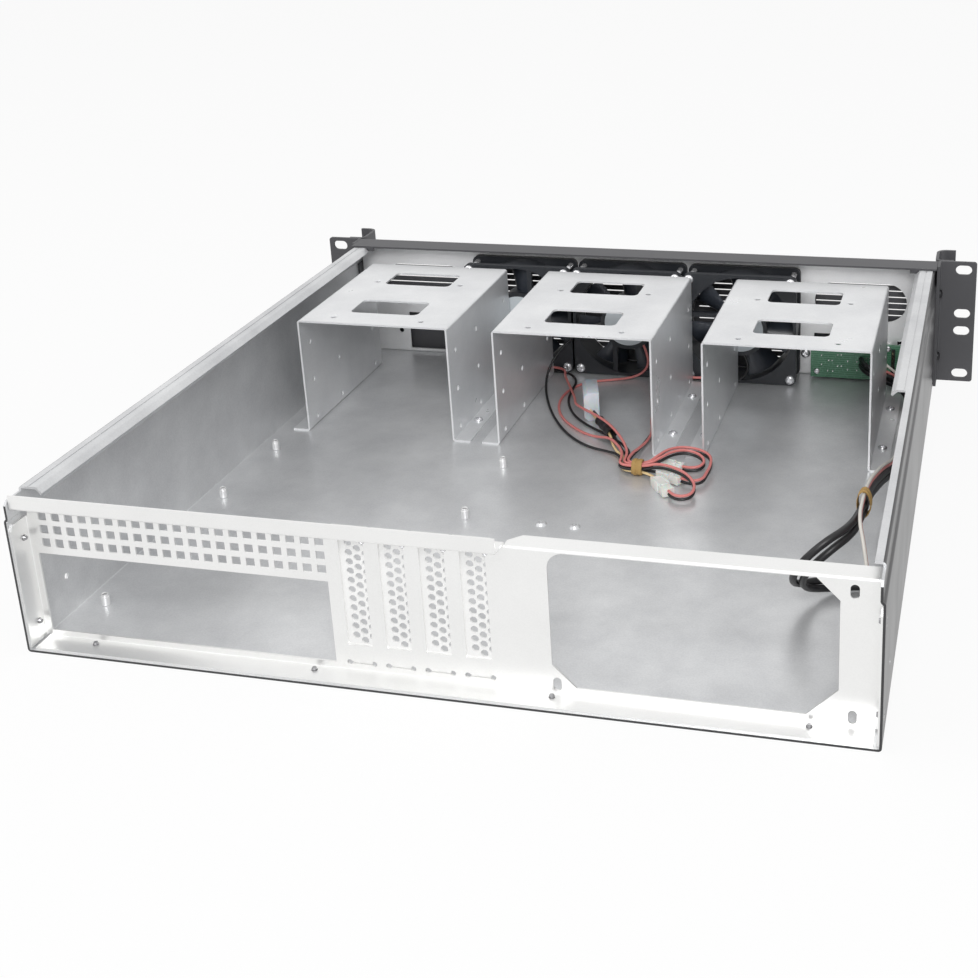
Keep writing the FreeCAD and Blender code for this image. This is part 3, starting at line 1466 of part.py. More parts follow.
def save_case():
    """Write the tray, the rear panel and what is screwed to them."""
    save("tray", make_tray())
    save("rear_panel", make_rear_panel())
    for number in range(slot_count):
        save("slot_cover_" + str(number + 1), make_slot_cover(number))
    save("slot_cover_screws", make_slot_cover_screws())
    save("rear_panel_screws", make_rear_panel_screws())
    save("motherboard_standoffs", make_standoffs())
    for name, spot in zip(("left", "middle", "right"), bracket_spots):
        save("drive_bracket_" + name, make_drive_bracket(spot))
    save("bracket_screws", make_bracket_screws())


def save_front():
    """Write the two front panels, the ears and the handles."""
    save("inner_front_panel", make_inner_front_panel())
    save("inner_panel_screw", make_panel_screw())
    save("front_panel", make_front_panel())
    for name, side in (("right", 1), ("left", -1)):
        save("rack_ear_" + name, make_rack_ear(side))
        save("handle_" + name, make_handle(side))
    save("ear_screws", make_ear_screws())


def save_fans():
    """Write the fans and their screws."""
    for number, fan_x in enumerate(fan_spots()):
        save("fan_frame_" + str(number + 1), make_fan_frame(fan_x))
        save("fan_rotor_" + str(number + 1), make_fan_rotor(fan_x))
    save("fan_screws", make_fan_screws())


def save_controls():
    """Write the boards, the buttons, the lamps and the ports."""
    save("control_board", make_board(control_board_near, control_board_far,
                                     control_screw_spots(board_rear)))
    save("port_board", make_board(port_board_near, port_board_far, port_screw_spots(board_rear)))
    save("board_spacers", make_board_spacers())
    save("board_screws", make_board_screws())
    save("board_header", make_board_header())
    save("button_switches", [make_switch(power_button_x), make_switch(reset_button_x)])
    save("power_button", make_button(power_button_x, power_button_radius))
    save("reset_button", make_button(reset_button_x, reset_button_radius))
    save("status_lamps", make_lamps())
    save("data_ports", make_ports())


def save_wiring():
    """Write the wires, the plugs and the ties."""
    save("fan_lead_1_red", make_wire(fan_lead_1_red_route, wire_diameter))
    save("fan_lead_1_black", make_wire(fan_lead_1_black_route, wire_diameter))
    save("fan_lead_2_red", make_wire(fan_lead_2_red_route, wire_diameter))
    save("fan_lead_2_black", make_wire(fan_lead_2_black_route, wire_diameter))
    save("fan_lead_3_red", make_wire(fan_lead_3_red_route, wire_diameter))
    save("fan_lead_3_black", make_wire(fan_lead_3_black_route, wire_diameter))
    save("supply_lead_yellow", make_wire(supply_lead_yellow_route, wire_diameter))
    save("supply_lead_black", make_wire(supply_lead_black_route, wire_diameter))
    save("front_wire_red", make_wire(front_wire_red_route, wire_diameter))
    save("front_wire_white", make_wire(front_wire_white_route, wire_diameter))
    save("front_cable_1", make_wire(front_cable_1_route, cable_diameter))
    save("front_cable_2", make_wire(front_cable_2_route, cable_diameter))
    for number, ends in enumerate(fan_plug_ends):
        save("fan_plug_" + str(number + 1), make_fan_plug(ends))
    save("supply_connector", make_supply_connector())
    save("heat_shrink", round_sleeve(at(*shrink_start), at(*shrink_end), shrink_radius,
                                     shrink_wall))
    save("harness_tie", make_harness_tie())
    save("bundle_tie", round_sleeve(at(*bundle_tie_start), at(*bundle_tie_end),
                                    bundle_tie_radius, bundle_tie_wall))
    save("cable_plug", square_bar(at(*cable_plug_start), at(*cable_plug_end), cable_plug_width,
                                  cable_plug_height))
    save("wire_plugs", make_wire_plugs())


os.makedirs("parts", exist_ok=True)
save_case()
save_front()
save_fans()
save_controls()
save_wiring()
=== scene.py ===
"""Dresses an empty two-unit rackmount server case for a studio picture.

Lengths are in metres. X runs across the case, the front faces -Y and +Z is up. A place along the
depth is given as "back", the distance in front of the rear edge, as a maker would measure it.
"""

import logging
import math
from dataclasses import dataclass, field
from enum import Enum
from typing import Callable, ClassVar

import bpy
from mathutils import Matrix, Vector


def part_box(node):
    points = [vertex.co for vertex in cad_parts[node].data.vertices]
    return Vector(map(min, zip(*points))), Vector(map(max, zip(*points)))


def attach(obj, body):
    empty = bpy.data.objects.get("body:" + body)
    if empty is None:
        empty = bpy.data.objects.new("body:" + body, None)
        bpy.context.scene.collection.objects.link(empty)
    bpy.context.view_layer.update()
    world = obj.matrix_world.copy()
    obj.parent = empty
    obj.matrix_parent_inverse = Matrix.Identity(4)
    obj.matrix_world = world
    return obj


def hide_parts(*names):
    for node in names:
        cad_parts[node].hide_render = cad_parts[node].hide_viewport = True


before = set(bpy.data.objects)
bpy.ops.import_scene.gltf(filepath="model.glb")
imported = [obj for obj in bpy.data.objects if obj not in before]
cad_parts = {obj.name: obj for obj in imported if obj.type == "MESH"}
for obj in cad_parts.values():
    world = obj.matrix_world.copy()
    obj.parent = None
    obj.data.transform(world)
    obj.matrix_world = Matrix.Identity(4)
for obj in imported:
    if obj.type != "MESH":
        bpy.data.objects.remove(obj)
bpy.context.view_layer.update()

LOG = logging.getLogger("server_case")
MM = 0.001
REAR_EDGE = 0.239
CHASSIS = "chassis"
# Pins of plugs and of through-hole parts stand this far apart, in millimetres
PIN_PITCH = 2.54

Point = tuple[float, float, float]
Route = tuple[Point, ...]
Socket = bpy.types.NodeSocket
Patterns = tuple[Socket, Socket, Socket | None]


# The tables of points below hold millimetres across, in front of the rear edge and up.

# From the tie round a loop and into the plug, as each fan's black lead lies
FAN_LOOPS: dict[int, Route] = {
    1: (
        (-36.5, 272.5, 5.7), (-36.6, 259, 5.75), (-50, 259, 6), (-55.6, 266.5, 8.8),
        (-59.4, 275.6, 8.8), (-67, 282.6, 8.4), (-78.5, 283.2, 7.2), (-86.8, 277.5, 6),
        (-88.6, 267.5, 4.8), (-87.8, 257, 3.9), (-86.96, 247.82, 3.5), (-80.55, 243.93, 3.45),
        (-73.94, 247.38, 3.45),
    ),
    2: (
        (-32.2, 254.6, 5.75), (-49, 254.6, 6.1), (-58, 253.9, 9), (-69, 250.2, 9),
        (-78.6, 243.8, 8.2), (-84.8, 236.2, 5.6), (-85, 226.8, 3.9), (-80.1, 222.5, 3.5),
        (-73.67, 223.33, 3.45), (-70.03, 228.66, 3.45),
    ),
    3: (
        (-34.4, 256.8, 5.75), (-51, 256.8, 6.5), (-58, 263.4, 9), (-62.5, 272.8, 8.8),
        (-69.6, 278.4, 8.4), (-78, 278.3, 6.8), (-83.6, 272.9, 5.4), (-83.6, 266.6, 4.2),
        (-78.14, 262.32, 3.45), (-71.35, 263.79, 3.45),
    ),
}

# The red lead of a fan lies on its black one
RED_RISE = 2.3

# Along the left wall, as the lowest cable lies
WALL_RUN: Route = (
    (-191, 414, 7.8), (-200.5, 402, 4.8), (-202.5, 383, 4), (-200.8, 352, 4), (-202.5, 318, 4),
    (-201.2, 287, 6.5), (-200, 257, 14), (-197.5, 227, 25), (-196.5, 196, 36), (-194, 163, 45),
    (-193, 131, 48.5),
)


def lifted(points: Route, rise: float) -> Route:
    """The same points, some millimetres higher."""
    return tuple((x, back, round(height + rise, 3)) for x, back, height in points)


# The whole way of each wire and cable
ROUTES: dict[str, Route] = {
    "fan_lead_1_red": (
        (-78.16, 420.1, 22.05), (-76, 417.6, 16.5), (-71.5, 415.9, 9.5), (-62.5, 415.5, 5.2),
        (-53, 415.1, 4.7), (-42.5, 414.5, 4.7), (-37, 404.5, 4.7), (-35.6, 390, 4.7),
        (-34.7, 372, 4.7), (-33.2, 354, 4.7), (-35.3, 335, 4.7), (-40, 318, 4.7), (-41, 302, 4.9),
        (-39, 287, 6.2),
        *lifted(FAN_LOOPS[1], RED_RISE),
    ),
    "fan_lead_1_black": (
        (-84.04, 420.1, 22.07), (-87.5, 417.6, 16.5), (-86.5, 415.9, 9), (-79, 415.6, 3.4),
        (-66, 415.5, 2.4), (-54, 415.1, 2.4), (-43.5, 414.5, 2.4), (-39.2, 404, 2.4),
        (-38.4, 389, 2.4), (-38.8, 370, 2.4), (-40.2, 350, 2.4), (-40.6, 330, 2.4),
        (-39, 314, 2.4), (-38, 300, 2.6), (-37.2, 286, 3.8),
        *FAN_LOOPS[1],
    ),
    "fan_lead_2_red": (
        (-10.83, 420.1, 25.42), (-14.2, 417.6, 19.5), (-15.2, 415.9, 12), (-10.5, 415, 5.2),
        (-2, 411.8, 2.6), (9, 407, 2.4), (20, 403, 2.4), (29, 396.5, 2.4), (34.5, 386, 2.4),
        (37, 371, 2.4), (35.6, 356, 2.4), (31, 342, 2.4), (23.5, 329, 2.4), (13.5, 318, 2.4),
        (3.5, 309.5, 2.5), (-6.5, 302.5, 4), (-17, 294, 8.3), (-27, 281, 8.05),
        (-31.8, 269, 8.05),
        *lifted(FAN_LOOPS[2], RED_RISE),
    ),
    "fan_lead_2_black": (
        (20.22, 420.1, 40.49), (26, 418, 39.3), (33, 411.5, 36.5), (42, 402.5, 30.5),
        (49.5, 394, 21), (52.8, 386.5, 11), (51, 377, 3.6), (46, 363.5, 2.4), (39.5, 348, 2.4),
        (31, 331, 2.4), (20.5, 314, 2.4), (8.5, 299.5, 2.4), (-4.5, 289.5, 2.4),
        (-16.5, 283.5, 3.4), (-26.5, 276.5, 5.2), (-31.4, 267.5, 5.75),
        *FAN_LOOPS[2],
    ),
    "fan_lead_3_red": (
        (77.44, 420.1, 22.4), (74, 417.6, 17), (70, 415.9, 9.5), (64, 415.8, 6), (54, 415.8, 5.8),
        (45.5, 409.5, 6.9), (42.5, 397.5, 7.2), (37, 386, 7), (30.5, 372, 7), (23.5, 356, 8),
        (18.6, 339, 10.8), (8.2, 326, 12.9), (-4, 316.2, 12.8), (-14, 305.5, 12.7),
        (-22.8, 294.5, 11), (-29.5, 284, 9.2), (-34.4, 272, 8.1),
        *lifted(FAN_LOOPS[3], RED_RISE),
    ),
    "fan_lead_3_black": (
        (85.04, 420.1, 22.08), (87, 417.6, 15), (82, 415.9, 6.5), (72, 415.6, 2.6),
        (61.5, 415.7, 2.4), (50.5, 415.2, 3.2), (40.5, 407.5, 4.6), (32.5, 394.5, 4.7),
        (32.6, 380, 3.4), (31.5, 366, 2.4), (26, 350.5, 2.4), (18.6, 337.5, 2.4), (9.5, 327, 2.4),
        (-0.5, 318.5, 2.4), (-11, 310.5, 2.4), (-20.5, 301, 2.8), (-27.5, 291, 4.4),
        (-33.2, 281, 5.75), (-34.6, 271, 5.9),
        *FAN_LOOPS[3],
    ),
    "supply_lead_yellow": (
        (6.42, 333.38, 9.35), (-0.9, 323.1, 7.2), (-8.3, 311.9, 7.6), (-15.7, 300.7, 7.1),
        (-18.9, 292.4, 5.6), (-23.5, 283.5, 4.2), (-30, 277, 3.9), (-33.2, 268.6, 3.9),
        (-33.3, 255.7, 3.9), (-51.55, 255.7, 4.2), (-58.94, 244.88, 4.6),
    ),
    "supply_lead_black": (
        (4.2, 334, 8.36), (-2.9, 324.6, 7.2), (-10.2, 313.2, 7.6), (-17.6, 302, 7.1),
        (-22.2, 293.6, 5.6), (-27.5, 284.2, 3.9), (-33, 277.5, 3.9), (-35.4, 270.2, 3.9),
        (-35.5, 257.9, 3.9), (-49, 257.9, 4.2), (-58.53, 255.41, 4.6),
    ),
    "front_cable_1": (
        (-165, 435.6, 13.5), (-166.5, 427, 13.2), (-176.5, 419.5, 11.5),
        *WALL_RUN,
        (-190.5, 111.5, 48.5), (-181, 98.5, 45), (-170.5, 97.5, 34), (-165.5, 106, 21.5),
        (-167, 119, 10.5), (-174.5, 130.5, 5), (-186, 136.5, 3.9), (-196.5, 138.5, 3.9),
    ),
    "front_cable_2": (
        (-165, 435.6, 17.8), (-166.5, 427, 17.5), (-176.5, 419.5, 15.8),
        *lifted(WALL_RUN, 4.3),
        (-189.5, 110.5, 53), (-177.5, 95.8, 50), (-165.3, 94.5, 37), (-160.6, 104.5, 22.5),
        (-162.5, 119, 12.5), (-171.5, 131.5, 9), (-186, 136.5, 8.2), (-196.5, 138.5, 8.2),
    ),
    "front_wire_red": (
        (-172, 435.8, 20), (-174, 427.5, 19.5), (-176.5, 419.5, 19),
        *lifted(WALL_RUN, 7.5),
        (-193.5, 113, 55.5), (-197, 99, 50), (-200, 90.5, 39), (-201, 86.5, 26.5),
        (-201, 86.5, 14),
    ),
    "front_wire_white": (
        (-176.5, 435.85, 23), (-178.3, 429.5, 22.6), (-182.5, 421.7, 20.7),
        *lifted(WALL_RUN, 9.6),
        (-193.5, 109, 57.8), (-197.5, 94, 51.5), (-200.6, 84, 39.5), (-201, 79.5, 27),
        (-201, 79.5, 14),
    ),
}


def at(x: float, back: float, height: float) -> Vector:
    """A place in the case from millimetres across, in front of the rear edge and up."""
    return Vector((x * MM, REAR_EDGE - back * MM, height * MM))


def linear(code: str) -> tuple[float, float, float, float]:
    """Turns an sRGB hex value into a linear colour.

    Args:
        code: the colour as "#rrggbb".

    Returns:
        Red, green, blue and alpha, as shader sockets take them.
    """
    channels = [int(code[k:k + 2], 16) / 255 for k in (1, 3, 5)]
    bent = [c / 12.92 if c <= 0.04045 else ((c + 0.055) / 1.055) ** 2.4 for c in channels]
    return (bent[0], bent[1], bent[2], 1.0)


def add_node(
    tree: bpy.types.NodeTree,
    kind: str,
    settings: dict[str | int, object] | None = None,
    links: dict[str | int, Socket] | None = None,
) -> bpy.types.Node:
    """Adds a node with its settings and links.

    Args:
        tree: the node tree that gets it.
        kind: the node's type.
        settings: values for its inputs or its own options, by name or input number.
        links: the sockets that feed its inputs, by name or number.

    Returns:
        The new node.
    """
    node = tree.nodes.new(kind)
    for name, value in (settings or {}).items():
        if isinstance(name, int) or name in node.inputs:
            node.inputs[name].default_value = value
        else:
            setattr(node, name, value)
    for name, socket in (links or {}).items():
        tree.links.new(socket, node.inputs[name])
    return node


def new_material(name: str) -> tuple[bpy.types.Material, bpy.types.NodeTree, Socket]:
    """Starts a material with an empty tree.

    Args:
        name: its name.

    Returns:
        The material, its tree and the object coordinates, in metres.
    """
    material = bpy.data.materials.new(name)
    material.use_nodes = True
    material.node_tree.nodes.clear()
    place = add_node(material.node_tree, "ShaderNodeTexCoord")
    return material, material.node_tree, place.outputs["Object"]


class Use(Enum):
    """The surfaces of the case, with the names of their materials."""

    TRAY = "galvanised_tray_steel"
    SHEET = "galvanised_bracket_steel"
    PANEL = "rear_panel_steel"
    COVER = "slot_cover_steel"
    INNER = "inner_panel_steel"
    COAT = "black_powder_coat"
    EDGE = "tray_black_coat"
    HANDLE = "handle_powder_coat"
    ZINC = "bright_zinc"
    BLACK_ZINC = "black_zinc"
    # Bright zinc whose dark second tone is painted shade, for the rear panel screws
    ZINC_WITH_PAINTED_SHADE = "zinc_with_painted_shade"
    POST = "nickel_post"
    FAN_FRAME = "fan_frame_pbt"
    FAN_ROTOR = "fan_blade_pbt"
    MASK = "green_solder_mask"
    NYLON = "white_nylon"
    MILKY = "milky_nylon"
    DARK = "black_abs"
    LAMP = "clear_acrylic"
    PORT = "port_nickel"
    RED_WIRE = "red_pvc_wire"
    BLACK_WIRE = "black_pvc_wire"
    YELLOW_WIRE = "yellow_pvc_wire"
    WHITE_WIRE = "white_pvc_wire"
    CABLE = "black_cable_jacket"
    SHRINK = "heat_shrink_sleeve"
    TAPE = "crepe_paper_tape"
    LABEL = "blank_paper_label"
    SOLDER = "solder_tin"
    PIN = "gilt_pin"


@dataclass(frozen=True)
class Finish:
    """A surface of two close tones, whose shine follows a fine pattern.

    The first tone shows where the pattern is low and the second where it is high.
    """

    low_tone: str
    high_tone: str
    roughness: float = 0.4
    PATTERN_RANGE: ClassVar[tuple[float, float]] = (0.0, 1.0)
    ROUGHNESS_STEPS: ClassVar[tuple[float, float]] = (-0.05, 0.05)

    def patterns(self, tree: bpy.types.NodeTree, place: Socket) -> Patterns:
        """Adds the patterns for the tones and the roughness, and the relief if there is one."""
        raise NotImplementedError

    def shader_values(self) -> dict[str, float]:
        """What is the same all over the surface."""
        raise NotImplementedError

    def build(self, name: str) -> bpy.types.Material:
        """Makes the material.

        Args:
            name: its name.

        Returns:
            The material.
        """
        material, tree, place = new_material(name)
        tones, wear, relief = self.patterns(tree, place)
        colour = add_node(tree, "ShaderNodeMix",
                          {"data_type": "RGBA", 6: linear(self.low_tone),
                           7: linear(self.high_tone)}, {0: tones})
        low, high = (self.roughness + step for step in self.ROUGHNESS_STEPS)
        rough = add_node(tree, "ShaderNodeMapRange",
                         {"From Min": self.PATTERN_RANGE[0], "From Max": self.PATTERN_RANGE[1],
                          "To Min": low, "To Max": high}, {"Value": wear})
        links = {"Base Color": colour.outputs[2], "Roughness": rough.outputs[0]}
        if relief:
            links["Normal"] = relief
        shader = add_node(tree, "ShaderNodeBsdfPrincipled", self.shader_values(), links)
        add_node(tree, "ShaderNodeOutputMaterial", {}, {"Surface": shader.outputs[0]})
        return material


@dataclass(frozen=True)
class SheetSteel(Finish):
    """Zinc coated sheet: a soft grey mirror with a fine grain and faint clouds.

    The eye sees blurred reflections, speckled at about a millimetre where the zinc froze.
    """

    roughness: float = 0.34
    grain_mm: float = 0.9
    cloud_mm: float = 38.0
    grain_depth_mm: float = 0.012
    metallic: float = 1.0
    PATTERN_RANGE: ClassVar[tuple[float, float]] = (0.3, 0.7)
    ROUGHNESS_STEPS: ClassVar[tuple[float, float]] = (0.05, -0.05)

    def patterns(self, tree: bpy.types.NodeTree, place: Socket) -> Patterns:
        """Adds the grain, the clouds and the grain's relief.

        Args:
            tree: the material's tree.
            place: the object coordinates.

        Returns:
            The tones' share, the clouds and the relief.
        """
        grain = add_node(tree, "ShaderNodeTexNoise",
                         {"Scale": 1 / (self.grain_mm * MM), "Detail": 3.0, "Roughness": 0.6},
                         {"Vector": place})
        cloud = add_node(tree, "ShaderNodeTexNoise",
                         {"Scale": 1 / (self.cloud_mm * MM), "Detail": 4.0, "Roughness": 0.55},
                         {"Vector": place})
        blend = add_node(tree, "ShaderNodeMath", {"operation": "MULTIPLY_ADD", 1: 0.5},
                         {0: grain.outputs["Fac"], 2: cloud.outputs["Fac"]})
        share = add_node(tree, "ShaderNodeMapRange", {"From Min": 0.5, "From Max": 1.0},
                         {"Value": blend.outputs[0]})
        bump = add_node(tree, "ShaderNodeBump",
                        {"Strength": 0.6, "Distance": self.grain_depth_mm * MM},
                        {"Height": grain.outputs["Fac"]})
        return share.outputs[0], cloud.outputs["Fac"], bump.outputs[0]

    def shader_values(self) -> dict[str, float]:
        """How much of the coat mirrors as bare metal does."""
        return {"Metallic": self.metallic}


@dataclass(frozen=True)
class PowderCoat(Finish):
    """Baked powder paint: near black, satin, with the dimples of orange peel."""

    roughness: float = 0.42
    peel_mm: float = 0.8
    peel_depth_mm: float = 0.02
    patch_mm: float = 33.33
    ROUGHNESS_STEPS: ClassVar[tuple[float, float]] = (-0.05, 0.07)

    def patterns(self, tree: bpy.types.NodeTree, place: Socket) -> Patterns:
        """Adds the worn patches and the peel's relief.

        Args:
            tree: the material's tree.
            place: the object coordinates.

        Returns:
            The patches for tones and roughness, and the relief.
        """
        peel = add_node(tree, "ShaderNodeTexNoise",
                        {"Scale": 1 / (self.peel_mm * MM), "Detail": 2.0}, {"Vector": place})
        patch = add_node(tree, "ShaderNodeTexNoise",
                         {"Scale": 1 / (self.patch_mm * MM), "Detail": 3.0}, {"Vector": place})
        bump = add_node(tree, "ShaderNodeBump",
                        {"Strength": 0.5, "Distance": self.peel_depth_mm * MM},
                        {"Height": peel.outputs["Fac"]})
        return patch.outputs["Fac"], patch.outputs["Fac"], bump.outputs[0]

    def shader_values(self) -> dict[str, float]:
        """The index of a baked resin."""
        return {"IOR": 1.5}


@dataclass(frozen=True)
class PlatedMetal(Finish):
    """Small plated metal pieces: a bright skin with faint tool marks."""

    roughness: float = 0.24
    mark_mm: float = 0.4
    metallic: float = 1.0
    ROUGHNESS_STEPS: ClassVar[tuple[float, float]] = (-0.06, 0.08)

    def patterns(self, tree: bpy.types.NodeTree, place: Socket) -> Patterns:
        """Adds the tool marks, which are too shallow for a relief. On the rear panel screws the
        marks' dark tone is a painted shade.
        """
        marks = add_node(tree, "ShaderNodeTexNoise",
                         {"Scale": 1 / (self.mark_mm * MM), "Detail": 2.0}, {"Vector": place})
        return marks.outputs["Fac"], marks.outputs["Fac"], None

    def shader_values(self) -> dict[str, float]:
        """How much of the skin mirrors as bare metal does."""
        return {"Metallic": self.metallic}


@dataclass(frozen=True)
class MouldedPlastic(Finish):
    """Moulded plastic: an even colour with a faint spark-eroded texture."""

    texture_mm: float = 0.5
    texture_depth_mm: float = 0.006
    glow_through: float = 0.0
    clear: float = 0.0
    glow_depth_mm: float = 1.5

    def patterns(self, tree: bpy.types.NodeTree, place: Socket) -> Patterns:
        """Adds the mould's texture and its relief.

        Args:
            tree: the material's tree.
            place: the object coordinates.

        Returns:
            The texture for tones and roughness, and the relief.
        """
        texture = add_node(tree, "ShaderNodeTexNoise",
                           {"Scale": 1 / (self.texture_mm * MM), "Detail": 2.0},
                           {"Vector": place})
        bump = add_node(tree, "ShaderNodeBump",
                        {"Strength": 0.4, "Distance": self.texture_depth_mm * MM},
                        {"Height": texture.outputs["Fac"]})
        return texture.outputs["Fac"], texture.outputs["Fac"], bump.outputs[0]

    def shader_values(self) -> dict[str, float]:
        """The resin's index and how far light goes into it."""
        return {"IOR": 1.5, "Subsurface Weight": self.glow_through,
                "Subsurface Scale": self.glow_depth_mm * MM, "Transmission Weight": self.clear}


@dataclass(frozen=True)
class SolderMask:
    """Green solder mask over copper: glossy, with the tracks showing paler through it.

    The tracks are drawn about 0.3 mm wide, so that they show at this distance.
    """

    mask: str
    track: str
    roughness: float = 0.28
    cell_mm: float = 10.0
    track_mm: float = 0.3
    run_mm: float = 11.5
    pitch_mm: float = 1.6
    track_depth_mm: float = 0.03

    def build(self, name: str) -> bpy.types.Material:
        """Makes the material.

        Args:
            name: its name.

        Returns:
            The material.
        """
        material, tree, place = new_material(name)
        upright = add_node(tree, "ShaderNodeMapping", {"Rotation": (math.pi / 2, 0.0, 0.0)},
                           {"Vector": place})
        tracks = add_node(tree, "ShaderNodeTexBrick",
                          {"Scale": 1 / (self.cell_mm * MM), "Color1": linear(self.mask),
                           "Color2": linear(self.mask), "Mortar": linear(self.track),
                           "Mortar Size": self.track_mm / self.cell_mm,
                           "Brick Width": self.run_mm / self.cell_mm,
                           "Row Height": self.pitch_mm / self.cell_mm,
                           "offset": 0.37, "squash": 0.45, "squash_frequency": 3},
                          {"Vector": upright.outputs[0]})
        relief = add_node(tree, "ShaderNodeBump",
                          {"Strength": 0.5, "Distance": self.track_depth_mm * MM},
                          {"Height": tracks.outputs["Fac"]})
        shader = add_node(tree, "ShaderNodeBsdfPrincipled",
                          {"IOR": 1.5, "Roughness": self.roughness},
                          {"Base Color": tracks.outputs["Color"], "Normal": relief.outputs[0]})
        add_node(tree, "ShaderNodeOutputMaterial", {}, {"Surface": shader.outputs[0]})
        return material


@dataclass
class FinishShelf:
    """Makes each finish once and hands it out."""

    made: dict[Use, bpy.types.Material] = field(default_factory=dict)

    @staticmethod
    def recipes() -> dict[Use, Finish | SolderMask]:
        """The finish of each kind of surface."""
        sheet, plate, plastic = SheetSteel, PlatedMetal, MouldedPlastic
        return {
            Use.TRAY: sheet("#c8c9cb", "#e2e3e4", 0.33, metallic=0.45),
            Use.SHEET: sheet("#dedfe1", "#f0f1f2", 0.32, metallic=0.42),
            Use.PANEL: sheet("#ebebea", "#f4f4f3", 0.38, 0.7, 60.0, 0.006),
            Use.COVER: sheet("#ebebea", "#f7f7f6", 0.36, metallic=0.6),
            Use.INNER: sheet("#eeeeef", "#fafafa", 0.36, metallic=0.3),
            Use.COAT: PowderCoat("#4a4a4d", "#525255", 0.5),
            Use.EDGE: PowderCoat("#2b2b2d", "#353537", 0.3),
            Use.HANDLE: PowderCoat("#4e4e51", "#565659", 0.5),
            Use.ZINC: plate("#ececee", "#dcdcdf", 0.24, metallic=0.8),
            Use.BLACK_ZINC: plate("#3c3c3e", "#2c2c2e", 0.34),
            # Rear panel screws: bright zinc mottled with a dark tone that is painted shade, for
            # the shaded halves of their tips
            Use.ZINC_WITH_PAINTED_SHADE: plate("#bdbdbf", "#6f6f71", 0.3, 1.4),
            Use.POST: plate("#f4f4f4", "#e6e6e6", 0.3, metallic=0.55),
            Use.PORT: plate("#d2d2d4", "#c2c2c4", 0.2),
            Use.SOLDER: plate("#e0e0e0", "#cfcfcf", 0.2),
            Use.PIN: plate("#ece0bc", "#dccf9f", 0.2),
            Use.MASK: SolderMask("#518768", "#6a9f80"),
            Use.FAN_FRAME: plastic("#25272b", "#2c2f34", 0.42),
            Use.FAN_ROTOR: plastic("#30343b", "#383d46", 0.3),
            Use.NYLON: plastic("#ecebe6", "#e2e1dc", glow_through=0.3),
            Use.MILKY: plastic("#e4eaee", "#d8e0e6", 0.35, glow_through=0.5),
            Use.DARK: plastic("#1c1c1e", "#232325", 0.44),
            Use.LAMP: plastic("#e8f2ec", "#dfeae4", 0.12, 0.5, 0.0, clear=0.8),
            Use.RED_WIRE: plastic("#dd8783", "#d27a76", 0.36, 0.9, 0.004),
            Use.BLACK_WIRE: plastic("#1a1a1c", "#222224", 0.34, 0.9, 0.004),
            Use.YELLOW_WIRE: plastic("#ead0a0", "#e0c48f", 0.36, 0.9, 0.004),
            Use.WHITE_WIRE: plastic("#e6e2da", "#dcd8d0", 0.36, 0.9, 0.004),
            Use.CABLE: plastic("#18181a", "#202022", 0.4, 0.9, 0.01),
            Use.SHRINK: plastic("#161618", "#1e1e20", 0.4, 0.6, 0.03),
            Use.TAPE: plastic("#b8965c", "#a3824b", 0.75, 0.5, 0.12),
            Use.LABEL: plastic("#d3dade", "#cbd2d6", 0.45, 0.5, 0.004),
        }

    def get(self, use: Use) -> bpy.types.Material:
        """Finds a material, which is made when it is first asked for.

        Args:
            use: the surface.

        Returns:
            Its material.
        """
        if use not in self.made:
            self.made[use] = self.recipes()[use].build(use.value)
        return self.made[use]


